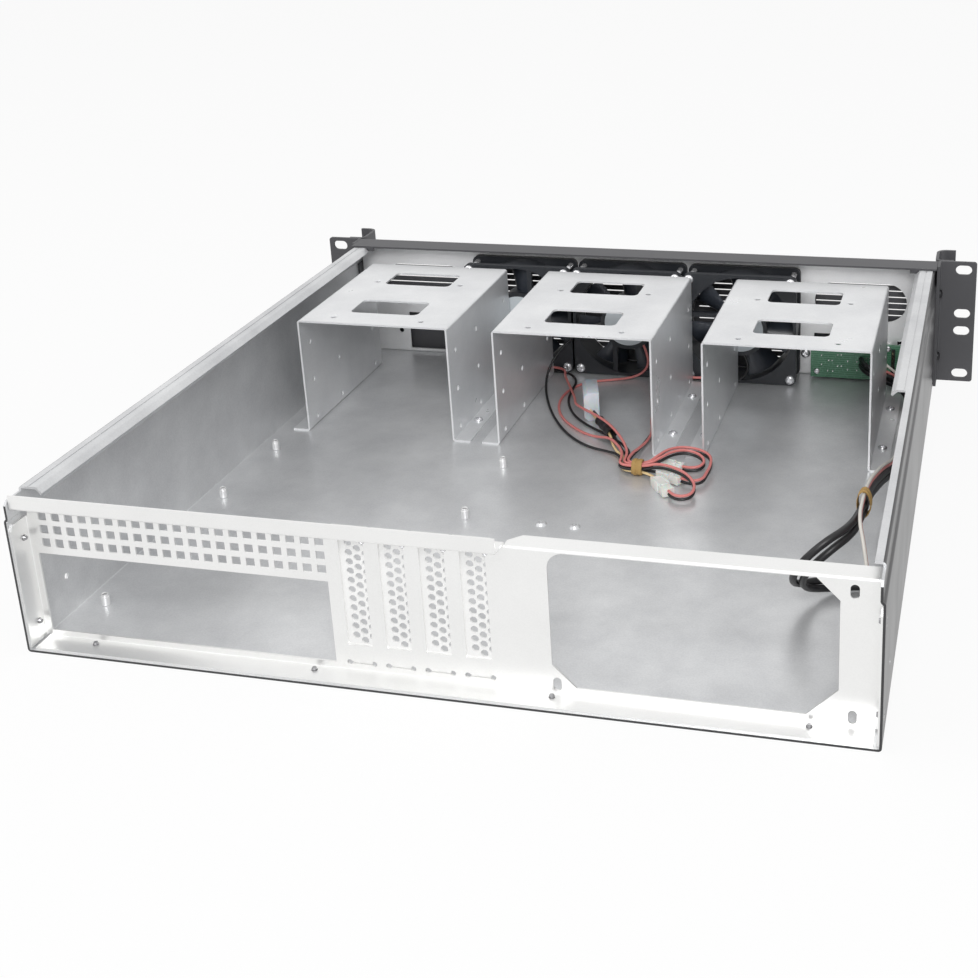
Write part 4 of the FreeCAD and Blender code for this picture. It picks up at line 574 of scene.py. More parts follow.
@dataclass
class Studio:
    """The camera, the pale floor and the soft light of the picture."""

    place: Point = (-0.2506, 0.8105, 0.4036)
    turn_degrees: Point = (70.17, 2.035, -165.656)
    lens_mm: float = 55.53
    sensor_mm: float = 36.0
    shift_x: float = -0.12
    shift_y: float = -0.16
    floor_size: float = 14.0
    floor_glow: float = 0.9
    diffuse_level: float = 0.5
    key_place: Point = (-0.45, 1.8, 1.5)
    key_size: float = 0.9
    key_watts: float = 28.0
    fill_place: Point = (1.5, 0.3, 1.6)
    fill_size: float = 1.2
    fill_watts: float = 5.0
    aim: Point = (0.0, 0.0, 0.05)

    def build(self) -> None:
        """Sets up everything that isn't the case."""
        self.camera()
        self.world()
        self.floor()
        self.softbox("key_softbox", self.key_place, self.key_size, self.key_watts)
        self.softbox("fill_softbox", self.fill_place, self.fill_size, self.fill_watts)
        bpy.context.scene.view_settings.view_transform = "Standard"

    def camera(self) -> None:
        """Stands the camera where the photographer's stood."""
        data = bpy.data.cameras.new("case_camera")
        data.sensor_width = self.sensor_mm
        data.lens = self.lens_mm
        data.shift_x = self.shift_x
        data.shift_y = self.shift_y
        data.clip_start = 0.01
        camera = bpy.data.objects.new("case_camera", data)
        camera.location = self.place
        camera.rotation_euler = [math.radians(a) for a in self.turn_degrees]
        bpy.context.scene.collection.objects.link(camera)
        bpy.context.scene.camera = camera

    def seen_directly(self, tree: bpy.types.NodeTree) -> Socket:
        """Tells the rays that see the white surround from those that light the case.

        Args:
            tree: the tree that gets the nodes.

        Returns:
            One for a camera, glossy or transmitted ray, and nought for any other.
        """
        path = add_node(tree, "ShaderNodeLightPath")
        shiny = add_node(tree, "ShaderNodeMath", {"operation": "MAXIMUM"},
                         {0: path.outputs["Is Glossy Ray"],
                          1: path.outputs["Is Transmission Ray"]})
        seen = add_node(tree, "ShaderNodeMath", {"operation": "MAXIMUM"},
                        {0: path.outputs["Is Camera Ray"], 1: shiny.outputs[0]})
        return seen.outputs[0]

    def world(self) -> None:
        """A white surround that lights the case softly."""
        world = bpy.data.worlds.new("white_surround")
        world.use_nodes = True
        tree = world.node_tree
        tree.nodes.clear()
        level = add_node(tree, "ShaderNodeMapRange", {"To Min": self.diffuse_level, "To Max": 1.0},
                         {"Value": self.seen_directly(tree)})
        back = add_node(tree, "ShaderNodeBackground", {"Color": linear("#ffffff")},
                        {"Strength": level.outputs[0]})
        add_node(tree, "ShaderNodeOutputWorld", {}, {"Surface": back.outputs[0]})
        bpy.context.scene.world = world

    def floor(self) -> None:
        """A wide pale floor that keeps the case's shadow and melts into the surround."""
        bpy.ops.mesh.primitive_plane_add(size=self.floor_size)
        floor = bpy.context.object
        floor.name = "studio_floor"
        material, tree, _ = new_material("studio_floor_paint")
        paint = add_node(tree, "ShaderNodeBsdfDiffuse", {"Color": linear("#f6f6f6")})
        glow = add_node(tree, "ShaderNodeEmission", {"Color": linear("#ffffff"), "Strength": 1.0})
        share = add_node(tree, "ShaderNodeMapRange", {"To Min": 0.0, "To Max": self.floor_glow},
                         {"Value": self.seen_directly(tree)})
        both = add_node(tree, "ShaderNodeMixShader", {},
                        {0: share.outputs[0], 1: paint.outputs[0], 2: glow.outputs[0]})
        add_node(tree, "ShaderNodeOutputMaterial", {}, {"Surface": both.outputs[0]})
        floor.data.materials.append(material)

    def softbox(self, name: str, place: Point, size: float, watts: float) -> None:
        """Hangs a square softbox that faces the case.

        Args:
            name: its name.
            place: where it hangs.
            size: its side.
            watts: its power.
        """
        data = bpy.data.lights.new(name, "AREA")
        data.size = size
        data.energy = watts
        lamp = bpy.data.objects.new(name, data)
        lamp.location = place
        gaze = Vector(self.aim) - Vector(place)
        lamp.rotation_euler = gaze.to_track_quat("-Z", "Y").to_euler()
        bpy.context.scene.collection.objects.link(lamp)


@dataclass
class CaseShell:
    """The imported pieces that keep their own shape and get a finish."""

    shelf: FinishShelf
    skin_x: float = 0.205
    sole_z: float = 0.0006
    rear_y: float = 0.2385

    @staticmethod
    def finishes() -> dict[str, Use]:
        """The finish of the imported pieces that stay, by how their names begin."""
        return {
            "tray": Use.TRAY, "rear_panel": Use.PANEL, "slot_cover_": Use.COVER,
            "drive_bracket_": Use.SHEET, "inner_front_panel": Use.INNER, "front_panel": Use.COAT,
            "rack_ear_": Use.COAT, "handle_": Use.HANDLE, "fan_frame_": Use.FAN_FRAME,
            "fan_rotor_": Use.FAN_ROTOR, "control_board": Use.MASK, "port_board": Use.MASK,
            "board_spacers": Use.POST, "board_header": Use.DARK, "button_switches": Use.DARK,
            "power_button": Use.DARK, "reset_button": Use.DARK, "status_lamps": Use.LAMP,
            "data_ports": Use.PORT,
        }

    def dress(self) -> None:
        """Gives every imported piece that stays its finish."""
        for start, use in self.finishes().items():
            for name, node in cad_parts.items():
                if name.startswith(start):
                    self.finish(node, use)
        self.split_tray()

    def finish(self, node: bpy.types.Object, use: Use) -> None:
        """Puts one finish on the whole of a piece."""
        node.data.materials.clear()
        node.data.materials.append(self.shelf.get(use))

    def split_tray(self) -> None:
        """Paints the tray's outside and rear edge black and leaves the rest bare."""
        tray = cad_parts["tray"]
        tray.data.materials.append(self.shelf.get(Use.EDGE))
        for face in tray.data.polygons:
            face.material_index = int(self.is_outside(face.center, face.normal))

    def is_outside(self, place: Vector, normal: Vector) -> bool:
        """Tells whether a face of the tray is painted.

        Args:
            place: the face's middle.
            normal: the way that it faces.

        Returns:
            True on the outside, underneath and on the rear edge.
        """
        side = math.copysign(1.0, place.x)
        faces_out = abs(place.x) > self.skin_x and normal.x * side > 0.25
        underneath = place.z < self.sole_z and normal.z < -0.5
        rear_rim = place.y > self.rear_y and normal.y > 0.5
        return faces_out or underneath or rear_rim


def pick_only(piece: bpy.types.Object) -> None:
    """Selects one object and makes it the active one.

    Args:
        piece: the object.
    """
    bpy.ops.object.select_all(action="DESELECT")
    piece.select_set(True)
    bpy.context.view_layer.objects.active = piece


def box_piece(name: str, size: Point, middle: Point, edge: float) -> bpy.types.Object:
    """Makes a block with rounded edges.

    Args:
        name: the piece's name.
        size: its sides, in millimetres.
        middle: its middle, in millimetres.
        edge: how much its edges are rounded, in millimetres.

    Returns:
        The block, with its place in its mesh.
    """
    bpy.ops.object.select_all(action="DESELECT")
    bpy.ops.mesh.primitive_cube_add(size=1.0)
    piece = bpy.context.object
    piece.name = name
    bpy.ops.object.mode_set(mode="EDIT")
    bpy.ops.mesh.select_all(action="SELECT")
    bpy.ops.transform.resize(value=[side * MM for side in size])
    bpy.ops.transform.translate(value=[side * MM for side in middle])
    bpy.ops.mesh.bevel(offset=edge * MM, segments=2, affect="EDGES")
    bpy.ops.object.mode_set(mode="OBJECT")
    return piece


def sink(piece: bpy.types.Object, chosen: Callable[[bpy.types.MeshPolygon], bool], rim: float,
         drop: Vector) -> None:
    """Sinks a pocket into the chosen faces of a piece.

    Args:
        piece: the object to work on.
        chosen: says whether a face is one of them.
        rim: the width left round the pocket, in millimetres.
        drop: how far and which way its floor goes, in metres.
    """
    pick_only(piece)
    bpy.ops.object.mode_set(mode="EDIT")
    bpy.ops.mesh.select_mode(type="FACE")
    bpy.ops.mesh.select_all(action="DESELECT")
    bpy.ops.object.mode_set(mode="OBJECT")
    for face in piece.data.polygons:
        face.select = chosen(face)
    bpy.ops.object.mode_set(mode="EDIT")
    bpy.ops.mesh.inset(thickness=rim * MM)
    bpy.ops.mesh.extrude_region_move(TRANSFORM_OT_translate={"value": drop})
    bpy.ops.object.mode_set(mode="OBJECT")


def lathe(name: str, outline: list[tuple[float, float]], steps: int = 24) -> bpy.types.Object:
    """Turns an outline round the Z axis.

    Args:
        name: the piece's name.
        outline: radius and height of its corners, in millimetres.
        steps: how many sides the round gets.

    Returns:
        The turned piece.
    """
    mesh = bpy.data.meshes.new(name)
    corners = [(radius * MM, 0.0, height * MM) for radius, height in outline]
    mesh.from_pydata(corners, [(k, k + 1) for k in range(len(corners) - 1)], [])
    piece = bpy.data.objects.new(name, mesh)
    bpy.context.scene.collection.objects.link(piece)
    pick_only(piece)
    bpy.ops.object.mode_set(mode="EDIT")
    bpy.ops.mesh.select_all(action="SELECT")
    bpy.ops.mesh.spin(steps=steps, angle=math.tau, center=(0, 0, 0), axis=(0, 0, 1))
    bpy.ops.mesh.select_all(action="SELECT")
    bpy.ops.mesh.remove_doubles(threshold=0.002 * MM)
    bpy.ops.mesh.normals_make_consistent(inside=False)
    bpy.ops.object.mode_set(mode="OBJECT")
    return piece


def cut_out(piece: bpy.types.Object, tool: bpy.types.Object) -> None:
    """Cuts a tool out of a piece and throws the tool away.

    Args:
        piece: what is cut.
        tool: the shape that is taken out.
    """
    pick_only(piece)
    change = piece.modifiers.new("cut", "BOOLEAN")
    change.operation = "DIFFERENCE"
    change.object = tool
    bpy.ops.object.modifier_apply(modifier="cut")
    bpy.data.objects.remove(tool)


def smooth(piece: bpy.types.Object, degrees: float = 32.0) -> None:
    """Smooths the shading over flat angles and keeps the sharp ones."""
    pick_only(piece)
    bpy.ops.object.shade_smooth_by_angle(angle=math.radians(degrees))


def joined(name: str, parts: list[bpy.types.Object]) -> bpy.types.Object:
    """Joins parts into one piece.

    Args:
        name: the piece's name.
        parts: its parts.

    Returns:
        The piece.
    """
    pick_only(parts[0])
    for part in parts:
        part.select_set(True)
    bpy.ops.object.join()
    parts[0].name = name
    return parts[0]


def copied(piece: bpy.types.Object, place: Matrix) -> bpy.types.Object:
    """Copies a piece with its mesh.

    Args:
        piece: what is copied.
        place: the move from the piece to its copy.

    Returns:
        The copy.
    """
    mesh = piece.data.copy()
    mesh.transform(place)
    copy = bpy.data.objects.new(piece.name, mesh)
    bpy.context.scene.collection.objects.link(copy)
    return copy


def repeated(name: str, pattern: bpy.types.Object, places: list[Matrix]) -> bpy.types.Object:
    """Copies a pattern to every place, joins the copies and throws the pattern away.

    Args:
        name: the group's name.
        pattern: what is copied.
        places: where the copies stand.

    Returns:
        The smoothed group.
    """
    copies = [copied(pattern, place) for place in places]
    bpy.data.objects.remove(pattern)
    group = joined(name, copies)
    smooth(group)
    return group


def reach(corners: list[Vector]) -> tuple[Vector, Vector]:
    """The lowest and the highest corner of the box round some points."""
    return (Vector([min(c[k] for c in corners) for k in range(3)]),
            Vector([max(c[k] for c in corners) for k in range(3)]))


def facing(direction: Vector, place: Vector, twist: float = 0.0) -> Matrix:
    """The move that stands a piece on a place with its Z axis along a direction."""
    turn = Vector((0, 0, 1)).rotation_difference(direction).to_matrix().to_4x4()
    return Matrix.Translation(place) @ turn @ Matrix.Rotation(twist, 4, "Z")


def hand_over(piece: bpy.types.Object, material: bpy.types.Material,
              replaced: tuple[str, ...] = ()) -> bpy.types.Object:
    """Finishes a piece and fixes it to the case.

    Args:
        piece: the new piece.
        material: its finish.
        replaced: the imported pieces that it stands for.

    Returns:
        The same piece.
    """
    piece.data.materials.clear()
    piece.data.materials.append(material)
    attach(piece, CHASSIS)
    if replaced:
        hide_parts(*replaced)
    return piece


def softened(node: str, name: str, edge: float) -> bpy.types.Object:
    """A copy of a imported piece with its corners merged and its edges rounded.

    Args:
        node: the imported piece.
        name: the copy's name.
        edge: how much its edges are rounded, in millimetres.

    Returns:
        The copy.
    """
    piece = bpy.data.objects.new(name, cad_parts[node].data.copy())
    bpy.context.scene.collection.objects.link(piece)
    pick_only(piece)
    bpy.ops.object.mode_set(mode="EDIT")
    bpy.ops.mesh.select_all(action="SELECT")
    bpy.ops.mesh.remove_doubles(threshold=0.002 * MM)
    bpy.ops.mesh.dissolve_limited(angle_limit=math.radians(1.0))
    bpy.ops.object.mode_set(mode="OBJECT")
    change = piece.modifiers.new("edges", "BEVEL")
    change.width = edge * MM
    change.segments = 2
    change.limit_method = "ANGLE"
    change.angle_limit = math.radians(50.0)
    bpy.ops.object.modifier_apply(modifier="edges")
    smooth(piece)
    return piece


def islands(node: bpy.types.Object) -> list[list[Vector]]:
    """Sorts the corners of a packed group of like pieces by solid.

    Args:
        node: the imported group.

    Returns:
        The corners of each separate solid.
    """
    keys = [tuple(round(side * 1e6) for side in corner.co) for corner in node.data.vertices]
    above = {key: key for key in keys}

    def root(key: tuple[int, ...]) -> tuple[int, ...]:
        """Follows a corner to the one that stands for its solid.

        Args:
            key: the corner's place, rounded.

        Returns:
            The place that stands for the solid.
        """
        while above[key] != key:
            above[key] = above[above[key]]
            key = above[key]
        return key

    for face in node.data.polygons:
        first = root(keys[face.vertices[0]])
        for corner in face.vertices[1:]:
            above[root(keys[corner])] = first
    groups: dict[tuple[int, ...], list[Vector]] = {}
    for key, corner in zip(keys, node.data.vertices):
        groups.setdefault(root(key), []).append(corner.co.copy())
    return list(groups.values())


@dataclass(frozen=True)
class Lead:
    """One wire or cable along the route of its own name."""

    node: str
    use: Use
    slot: str
    length: float
    far_end: str
    goes_with: tuple[str, ...]
    diameter: float = 0.0018
    backwards: bool = False


@dataclass(frozen=True)
class PlugPair:
    """A fan's plug in its mate, from the tie's side to the far side."""

    number: int
    start: Point
    end: Point
    shell_width: float = 8.5
    shell_height: float = 6.0
    plug_step: float = 0.9
    shell_share: float = 0.6
    plug_overlap: float = 1.0
    window_rim: float = 1.1
    window_depth: float = 0.4
    rib_width: float = 0.9
    rib_height: float = 0.5
    contact_rib_width: float = 0.7
    contact_rib_gap: float = 1.6
    latch: Point = (2.4, 4.2, 0.9)
    latch_edge: float = 0.2
    rib_edge: float = 0.12
    edge: float = 0.3

    def build(self) -> bpy.types.Object:
        """Moulds the two housings, with keying ribs, a latch and a contact window.

        Returns:
            The pair, in its place.
        """
        start, end = at(*self.start), at(*self.end)
        length = (end - start).length / MM
        joint = length * self.shell_share
        shell = box_piece("shell", (joint, self.shell_width, self.shell_height),
                          (joint / 2, 0, 0), self.edge)
        sink(shell, lambda face: face.normal.z > 0.99, self.window_rim,
             Vector((0, 0, -self.window_depth * MM)))
        plug_width = self.shell_width - self.plug_step
        plug_height = self.shell_height - self.plug_step
        plug_length = length - joint + self.plug_overlap
        plug = box_piece("plug", (plug_length, plug_width, plug_height),
                         (length - plug_length / 2, 0, 0), self.edge)
        parts = [shell, plug]
        top = self.shell_height / 2
        for side in (-1, 1):
            spot = (joint / 2, side * (self.shell_width / 2 - self.rib_width), top)
            parts.append(box_piece("rib", (joint, self.rib_width, self.rib_height), spot,
                                   self.rib_edge))
        for side in (-1, 0, 1):
            size = (length - joint - self.contact_rib_gap, self.contact_rib_width, self.rib_height)
            spot = (joint + (length - joint) / 2, side * PIN_PITCH, plug_height / 2)
            parts.append(box_piece("rib", size, spot, self.rib_edge))
        spot = (joint + 0.4, 0, (plug_height + 0.6) / 2)
        parts.append(box_piece("latch", self.latch, spot, self.latch_edge))
        pair = joined("fan_plug_housing_%d" % self.number, parts)
        along = (end - start).normalized()
        turn = Vector((1, 0, 0)).rotation_difference(along).to_matrix().to_4x4()
        pair.data.transform(Matrix.Translation(start) @ turn)
        smooth(pair)
        return pair


@dataclass
class Wiring:
    """The wires, cables, plugs, sleeves and tape ties that lie in the case."""

    shelf: FinishShelf
    tie_middle: Point = (-44.4, 256.8, 6.6)
    tie_radius: float = 5.2
    tie_length: float = 6.5
    bundle_start: Point = (-193.45, 145.4, 51.05)
    bundle_end: Point = (-193.2, 137.4, 51.93)
    bundle_radius: float = 7.6
    bundle_squeeze: tuple[float, float] = (0.5, 1.0)
    tape_thick: float = 0.9
    crumple: float = 0.22
    sleeve_start: Point = (-3.0, 322.0, 7.3)
    sleeve_end: Point = (-16.5, 301.5, 7.3)
    sleeve_radius: float = 3.5
    sleeve_thick: float = 0.6
    sleeve_slack: float = 0.3
    sleeve_rings: int = 12

    @staticmethod
    def plugs() -> list[PlugPair]:
        """The three fans' plug pairs."""
        return [PlugPair(1, (-59.0, 244.8, 4.4), (-70.0, 228.7, 4.4)),
                PlugPair(2, (-58.8, 255.27, 4.4), (-73.9, 247.4, 4.4)),
                PlugPair(3, (-57.0, 266.9, 4.4), (-71.3, 263.8, 4.4))]

    @staticmethod
    def leads() -> list[Lead]:
        """Lists every wire and cable, with its length and what is on it.

        Returns:
            The list.
        """
        red, black = (Use.RED_WIRE, "red_wire"), (Use.BLACK_WIRE, "black_wire")
        found = []
        for fan, plug, lengths in ((1, 2, (0.3052, 0.3177)), (2, 1, (0.3192, 0.307)),
                                   (3, 3, (0.296, 0.3142))):
            with_it = ("fan_plug_housing_%d" % plug, "harness_tape")
            found.append(Lead("fan_lead_%d_red" % fan, *red, lengths[0], "plug", with_it))
            found.append(Lead("fan_lead_%d_black" % fan, *black, lengths[1], "plug", with_it))
        supply = ("supply_housing", "shrink_sleeve")
        for name, use, slot, length in (("yellow", Use.YELLOW_WIRE, "yellow_wire", 0.1163),
                                        ("black", *black, 0.1087)):
            found.append(Lead("supply_lead_" + name, use, slot, length, "connector", supply,
                              backwards=True))
        cable = ("cable_housing", "bundle_tape")
        for number, length in ((1, 0.4481), (2, 0.4602)):
            found.append(Lead("front_cable_%d" % number, Use.CABLE, "black_wire", length, "plug",
                              cable, 0.004))
        thin = ("wire_housings", "bundle_tape")
        found.append(Lead("front_wire_red", *red, 0.3967, "plug", thin))
        found.append(Lead("front_wire_white", Use.WHITE_WIRE, "white_wire", 0.3999, "plug", thin))
        return found

    def build(self) -> None:
        """Makes what is on the wires, then lays the wires."""
        get = self.shelf.get
        for pair in self.plugs():
            node = "fan_plug_%d" % pair.number
            hand_over(pair.build(), get(Use.NYLON), (node,))
        for node, name, edge, use, slot in (
                ("supply_connector", "supply_housing", 0.35, Use.MILKY, "milky_plastic"),
                ("cable_plug", "cable_housing", 0.5, Use.DARK, "dark_plastic"),
                ("wire_plugs", "wire_housings", 0.4, Use.NYLON, "white_plastic")):
            hand_over(softened(node, name, edge), get(use), (node,))
        tape = self.tape("harness_tape", self.tie_radius, self.tie_length, 5)
        tape.data.transform(facing(Vector((1, 0, 0)), at(*self.tie_middle)))
        hand_over(tape, get(Use.TAPE), ("harness_tie",))
        start, end = at(*self.bundle_start), at(*self.bundle_end)
        band = self.tape("bundle_tape", self.bundle_radius, (end - start).length / MM, 11)
        band.data.transform(Matrix.Diagonal((*self.bundle_squeeze, 1.0, 1.0)))
        band.data.transform(facing((end - start).normalized(), (start + end) / 2))
        hand_over(band, get(Use.TAPE), ("bundle_tie",))
        self.sleeve()
        for lead in self.leads():
            self.lay(lead)

    def lay(self, lead: Lead) -> None:
        """Lays one wire or cable as a smooth line along its route.

        Args:
            lead: the wire or cable.
        """
        route = ROUTES[lead.node][::-1] if lead.backwards else ROUTES[lead.node]
        curve = bpy.data.curves.new(lead.node + "_line", "CURVE")
        curve.dimensions = "3D"
        curve.resolution_u = 8
        curve.bevel_depth = lead.diameter / 2
        curve.bevel_resolution = 3
        curve.use_fill_caps = True
        spline = curve.splines.new("NURBS")
        spline.points.add(len(route) - 1)
        for point, spot in zip(spline.points, route):
            point.co = (*at(*spot), 1.0)
        spline.order_u = 3
        spline.use_endpoint_u = True
        wire = bpy.data.objects.new(curve.name, curve)
        bpy.context.scene.collection.objects.link(wire)
        hand_over(wire, self.shelf.get(lead.use), (lead.node,))

    def tape(self, name: str, radius: float, length: float, seed: int) -> bpy.types.Object:
        """Winds a crumpled paper tape tie round the Z axis.

        Args:
            name: the tie's name.
            radius: its outer radius, in millimetres.
            length: its width along the wires, in millimetres.
            seed: picks its crumples.

        Returns:
            The tie.
        """
        half = length / 2
        inner = radius - self.tape_thick
        outline = [(inner, -half), (radius - 0.5, -half), (radius - 0.1, -half * 0.8),
                   (radius, -half * 0.35), (radius - 0.35, -half * 0.3),
                   (radius - 0.3, half * 0.15), (radius + 0.05, half * 0.2),
                   (radius, half * 0.7), (radius - 0.4, half * 0.75), (radius - 0.6, half),
                   (inner, half), (inner, -half)]
        band = lathe(name, outline, 36)
        bpy.ops.object.mode_set(mode="EDIT")
        bpy.ops.mesh.select_all(action="SELECT")
        bpy.ops.transform.vertex_random(offset=self.crumple * MM, uniform=0.0, normal=0.0,
                                        seed=seed)
        bpy.ops.object.mode_set(mode="OBJECT")
        smooth(band, 24.0)
        return band

    def sleeve(self) -> None:
        """Shrinks a black sleeve over the supply leads, a little slack at its ends."""
        start, end = at(*self.sleeve_start), at(*self.sleeve_end)
        length = (end - start).length / MM
        inner = self.sleeve_radius - self.sleeve_thick
        outline = [(inner, 0.0)]
        for step in range(self.sleeve_rings + 1):
            share = step / self.sleeve_rings
            slack = self.sleeve_slack * math.cos(math.tau * share * 3.0) * (0.5 + 0.5 * share)
            outline.append((self.sleeve_radius - self.sleeve_slack + slack, share * length))
        outline += [(inner, length), (inner, 0.0)]
        sleeve = lathe("shrink_sleeve", outline)
        sleeve.data.transform(facing((end - start).normalized(), start))
        smooth(sleeve)
        hand_over(sleeve, self.shelf.get(Use.SHRINK), ("heat_shrink",))


@dataclass(frozen=True)
class ScrewKind:
    """One kind of screw in the case, in millimetres."""

    node: str
    use: Use
    slot: str
    head_radius: float
    head_height: float
    shank_radius: float
    sunk: bool = False
    pitch: float = 0.7
    drive_share: float = 0.58
    drive_width_share: float = 0.2
    drive_depth: float = 1.1
    root_share: float = 0.88
    tip_share: float = 0.7


@dataclass
class FastenerRack:
    """Screws with cross recesses and threads, and the turned mainboard posts."""

    shelf: FinishShelf
    post_radius: float = 2.4
    post_height: float = 6.5
    post_bore: float = 1.3
    post_ring: float = 1.95
    next_twist: float = 0.7

    @staticmethod
    def kinds() -> list[ScrewKind]:
        """The screws of each packed group."""
        zinc, black = (Use.ZINC, "plated_screw"), (Use.BLACK_ZINC, "black_screw")
        return [ScrewKind("slot_cover_screws", *zinc, 3.0, 1.9, 1.5),
                ScrewKind("bracket_screws", *zinc, 3.0, 1.9, 1.5),
                ScrewKind("fan_screws", *zinc, 3.4, 2.2, 1.9),
                ScrewKind("inner_panel_screw", *zinc, 3.4, 1.9, 1.5),
                ScrewKind("board_screws", *zinc, 2.2, 1.4, 1.2, drive_depth=0.8),
                # The dark tone of these screws' zinc is painted shade
                ScrewKind("rear_panel_screws", Use.ZINC_WITH_PAINTED_SHADE, "black_screw", 2.8, 0.0, 1.5,
                          sunk=True),
                ScrewKind("ear_screws", *black, 3.0, 1.9, 1.5)]

    def build(self) -> None:
        """Fits every kind of screw and the posts."""
        for kind in self.kinds():
            self.fit(kind)
        self.posts()

    def fit(self, kind: ScrewKind) -> None:
        """Stands a modelled screw at each packed one of its kind.

        Args:
            kind: the kind.
        """
        spots = [self.spot(corners, kind) for corners in islands(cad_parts[kind.node])]
        places = [facing(way, seat, self.next_twist * number)
                  for number, (seat, way, _) in enumerate(spots)]
        group = repeated(kind.node + "_turned", self.turned(kind, spots[0][2]), places)
        hand_over(group, self.shelf.get(kind.use), (kind.node,))

    @staticmethod
    def spot(corners: list[Vector], kind: ScrewKind) -> tuple[Vector, Vector, float]:
        """Reads where a packed screw sits.

        Args:
            corners: the solid's corners.
            kind: its kind.

        Returns:
            The seat under the head, the way the head faces and the length below it, in
            millimetres.
        """
        low, high = reach(corners)
        size, middle = high - low, (low + high) / 2
        axis = min(range(3), key=lambda k: abs(size[(k + 1) % 3] - size[(k + 2) % 3]))
        others = [k for k in range(3) if k != axis]
        rim = [c[axis] for c in corners
               if math.hypot(*[c[k] - middle[k] for k in others]) > 0.9 * kind.head_radius * MM]
        sign = math.copysign(1.0, sum(rim) / len(rim) - middle[axis])
        way = Vector((0, 0, 0))
        way[axis] = sign
        seat = middle + way * (size[axis] / 2 - kind.head_height * MM)
        return seat, way, size[axis] / MM - kind.head_height

    def turned(self, kind: ScrewKind, length: float) -> bpy.types.Object:
        """Turns one screw, head up, its seat at the origin.

        Args:
            kind: its sizes.
            length: its length below the seat.

        Returns:
            The screw with its thread and cross recess.
        """
        r, h, shank = kind.head_radius, kind.head_height, kind.shank_radius
        if kind.sunk:
            outline = [(0, 0), (r - 0.1, 0), (r, -0.1), (shank, -1.2)]
        else:
            outline = [(0, h), (0.4 * r, 0.97 * h), (0.72 * r, 0.84 * h), (0.92 * r, 0.58 * h),
                       (r, 0.28 * h), (r, 0.02), (r - 0.1, 0), (shank, 0)]
        depth = -outline[-1][1]
        while depth + kind.pitch < length - 0.5:
            outline.append((shank * kind.root_share, -depth - kind.pitch * 0.5))
            outline.append((shank, -depth - kind.pitch))
            depth += kind.pitch
        outline += [(shank * kind.tip_share, -length), (0, -length)]
        screw = lathe(kind.node, outline, 20)
        long, wide = 2 * r * kind.drive_share, 2 * r * kind.drive_width_share
        for sides in ((long, wide), (wide, long)):
            tool = box_piece("drive", (sides[0], sides[1], 2 * kind.drive_depth), (0, 0, h), 0.12)
            cut_out(screw, tool)
        return screw

    def posts(self) -> None:
        """Turns the mainboard posts: a plain bore, a stepped top and a chamfer."""
        top, bore, ring, wide = self.post_height, self.post_bore, self.post_ring, self.post_radius
        outline = [(0, 1.6), (bore, 1.8), (bore, top - 0.3), (bore + 0.3, top), (ring - 0.15, top),
                   (ring, top - 0.15), (ring, top - 1.2), (wide - 0.15, top - 1.2),
                   (wide, top - 1.35), (wide, 0.2), (wide - 0.2, 0), (1.8, 0), (1.8, -1), (0, -1)]
        pattern = lathe("post", outline, 32)
        places = []
        for corners in islands(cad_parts["motherboard_standoffs"]):
            low, high = reach(corners)
            seat = Vector(((low.x + high.x) / 2, (low.y + high.y) / 2, high.z - top * MM))
            places.append(Matrix.Translation(seat))
        group = repeated("mainboard_posts", pattern, places)
        hand_over(group, self.shelf.get(Use.POST), ("motherboard_standoffs",))


@dataclass
class FanTrim:
    """Blank round labels on the fans' hubs."""

    shelf: FinishShelf
    hub_sink: float = 0.6
    label_radius: float = 16.6
    label_thick: float = 0.14
    count: int = 3

    def build(self) -> None:
        """Sticks a plain label on each hub."""
        outline = [(0, self.label_thick), (self.label_radius - 0.08, self.label_thick),
                   (self.label_radius, self.label_thick - 0.06), (self.label_radius, 0), (0, 0)]
        for number in range(1, self.count + 1):
            low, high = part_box("fan_frame_%d" % number)
            middle = (low + high) / 2
            hub = Vector((middle.x, high.y - self.hub_sink * MM, middle.z))
            label = lathe("hub_label_%d" % number, outline, 48)
            label.data.transform(facing(Vector((0, 1, 0)), hub))
            smooth(label)
            hand_over(label, self.shelf.get(Use.LABEL))


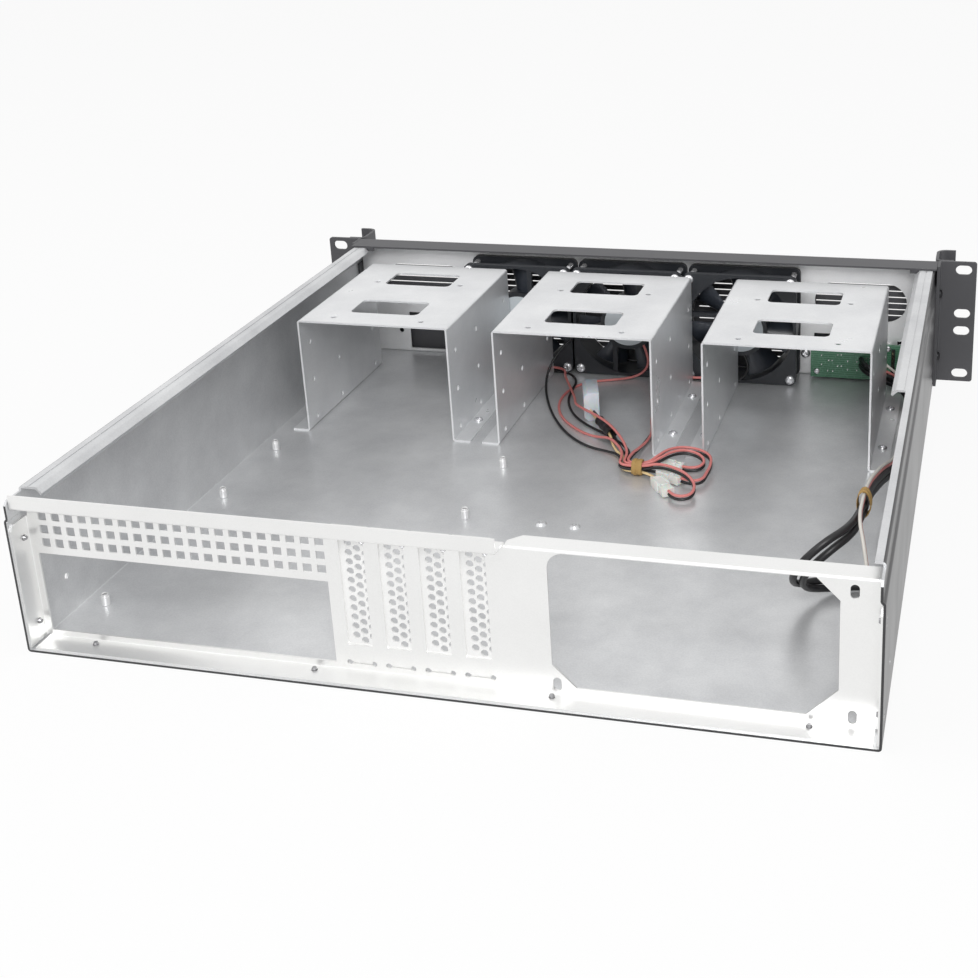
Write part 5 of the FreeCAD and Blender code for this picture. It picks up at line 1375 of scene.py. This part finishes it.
@dataclass
class BoardTrim:
    """Solder joints on the control board and bright pins on the header."""

    shelf: FinishShelf
    joint_radius: float = 0.62
    joint_height: float = 0.5
    pin_reach: float = 2.95

    def build(self) -> None:
        """Dots the control board with solder joints and plates the header's pins."""
        outline = [(0, self.joint_height), (0.3, self.joint_height), (0.45, 0.22),
                   (self.joint_radius, 0), (0, 0)]
        pattern = lathe("joint", outline, 12)
        low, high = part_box("control_board")
        places = [facing(Vector((0, 1, 0)), Vector((low.x + x * MM, high.y, low.z + z * MM)))
                  for x, z in self.joint_spots()]
        group = repeated("solder_joints", pattern, places)
        hand_over(group, self.shelf.get(Use.SOLDER))
        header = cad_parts["board_header"]
        header.data.materials.append(self.shelf.get(Use.PIN))
        body_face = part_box("board_header")[1].y - self.pin_reach * MM
        for face in header.data.polygons:
            face.material_index = int(face.center.y > body_face)

    @staticmethod
    def joint_spots() -> list[tuple[float, float]]:
        """Places the joints: the header's pins first, then the small parts' legs.

        Returns:
            Millimetres across and up from the board's corner.
        """
        rows = [(4.5 + PIN_PITCH * k, 8.0 + PIN_PITCH * n) for k in range(3) for n in range(4)]
        pairs = [(16.0, 6.5), (16.0, 13.0), (22.5, 6.5), (22.5, 13.0), (16.2, 20.5), (18.8, 20.5),
                 (27.0, 9.0), (29.5, 9.0), (27.0, 17.5), (29.5, 17.5), (33.5, 13.0), (36.0, 13.0),
                 (33.0, 21.5), (36.5, 21.5), (33.0, 5.0), (36.5, 5.0), (41.0, 9.5), (41.0, 16.5)]
        return rows + pairs


def main() -> None:
    """Builds the picture piece by piece."""
    logging.basicConfig(level=logging.INFO, format="%(name)s: %(message)s")
    bpy.ops.object.select_all(action="DESELECT")
    Studio().build()
    LOG.info("studio ready")
    shelf = FinishShelf()
    CaseShell(shelf).dress()
    LOG.info("packed pieces dressed: %d", len(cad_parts))
    Wiring(shelf).build()
    LOG.info("wires laid: %d", len(ROUTES))
    FastenerRack(shelf).build()
    LOG.info("screws and posts fitted")
    FanTrim(shelf).build()
    BoardTrim(shelf).build()
    LOG.info("fans and boards trimmed")


if __name__ == "__main__":
    main()
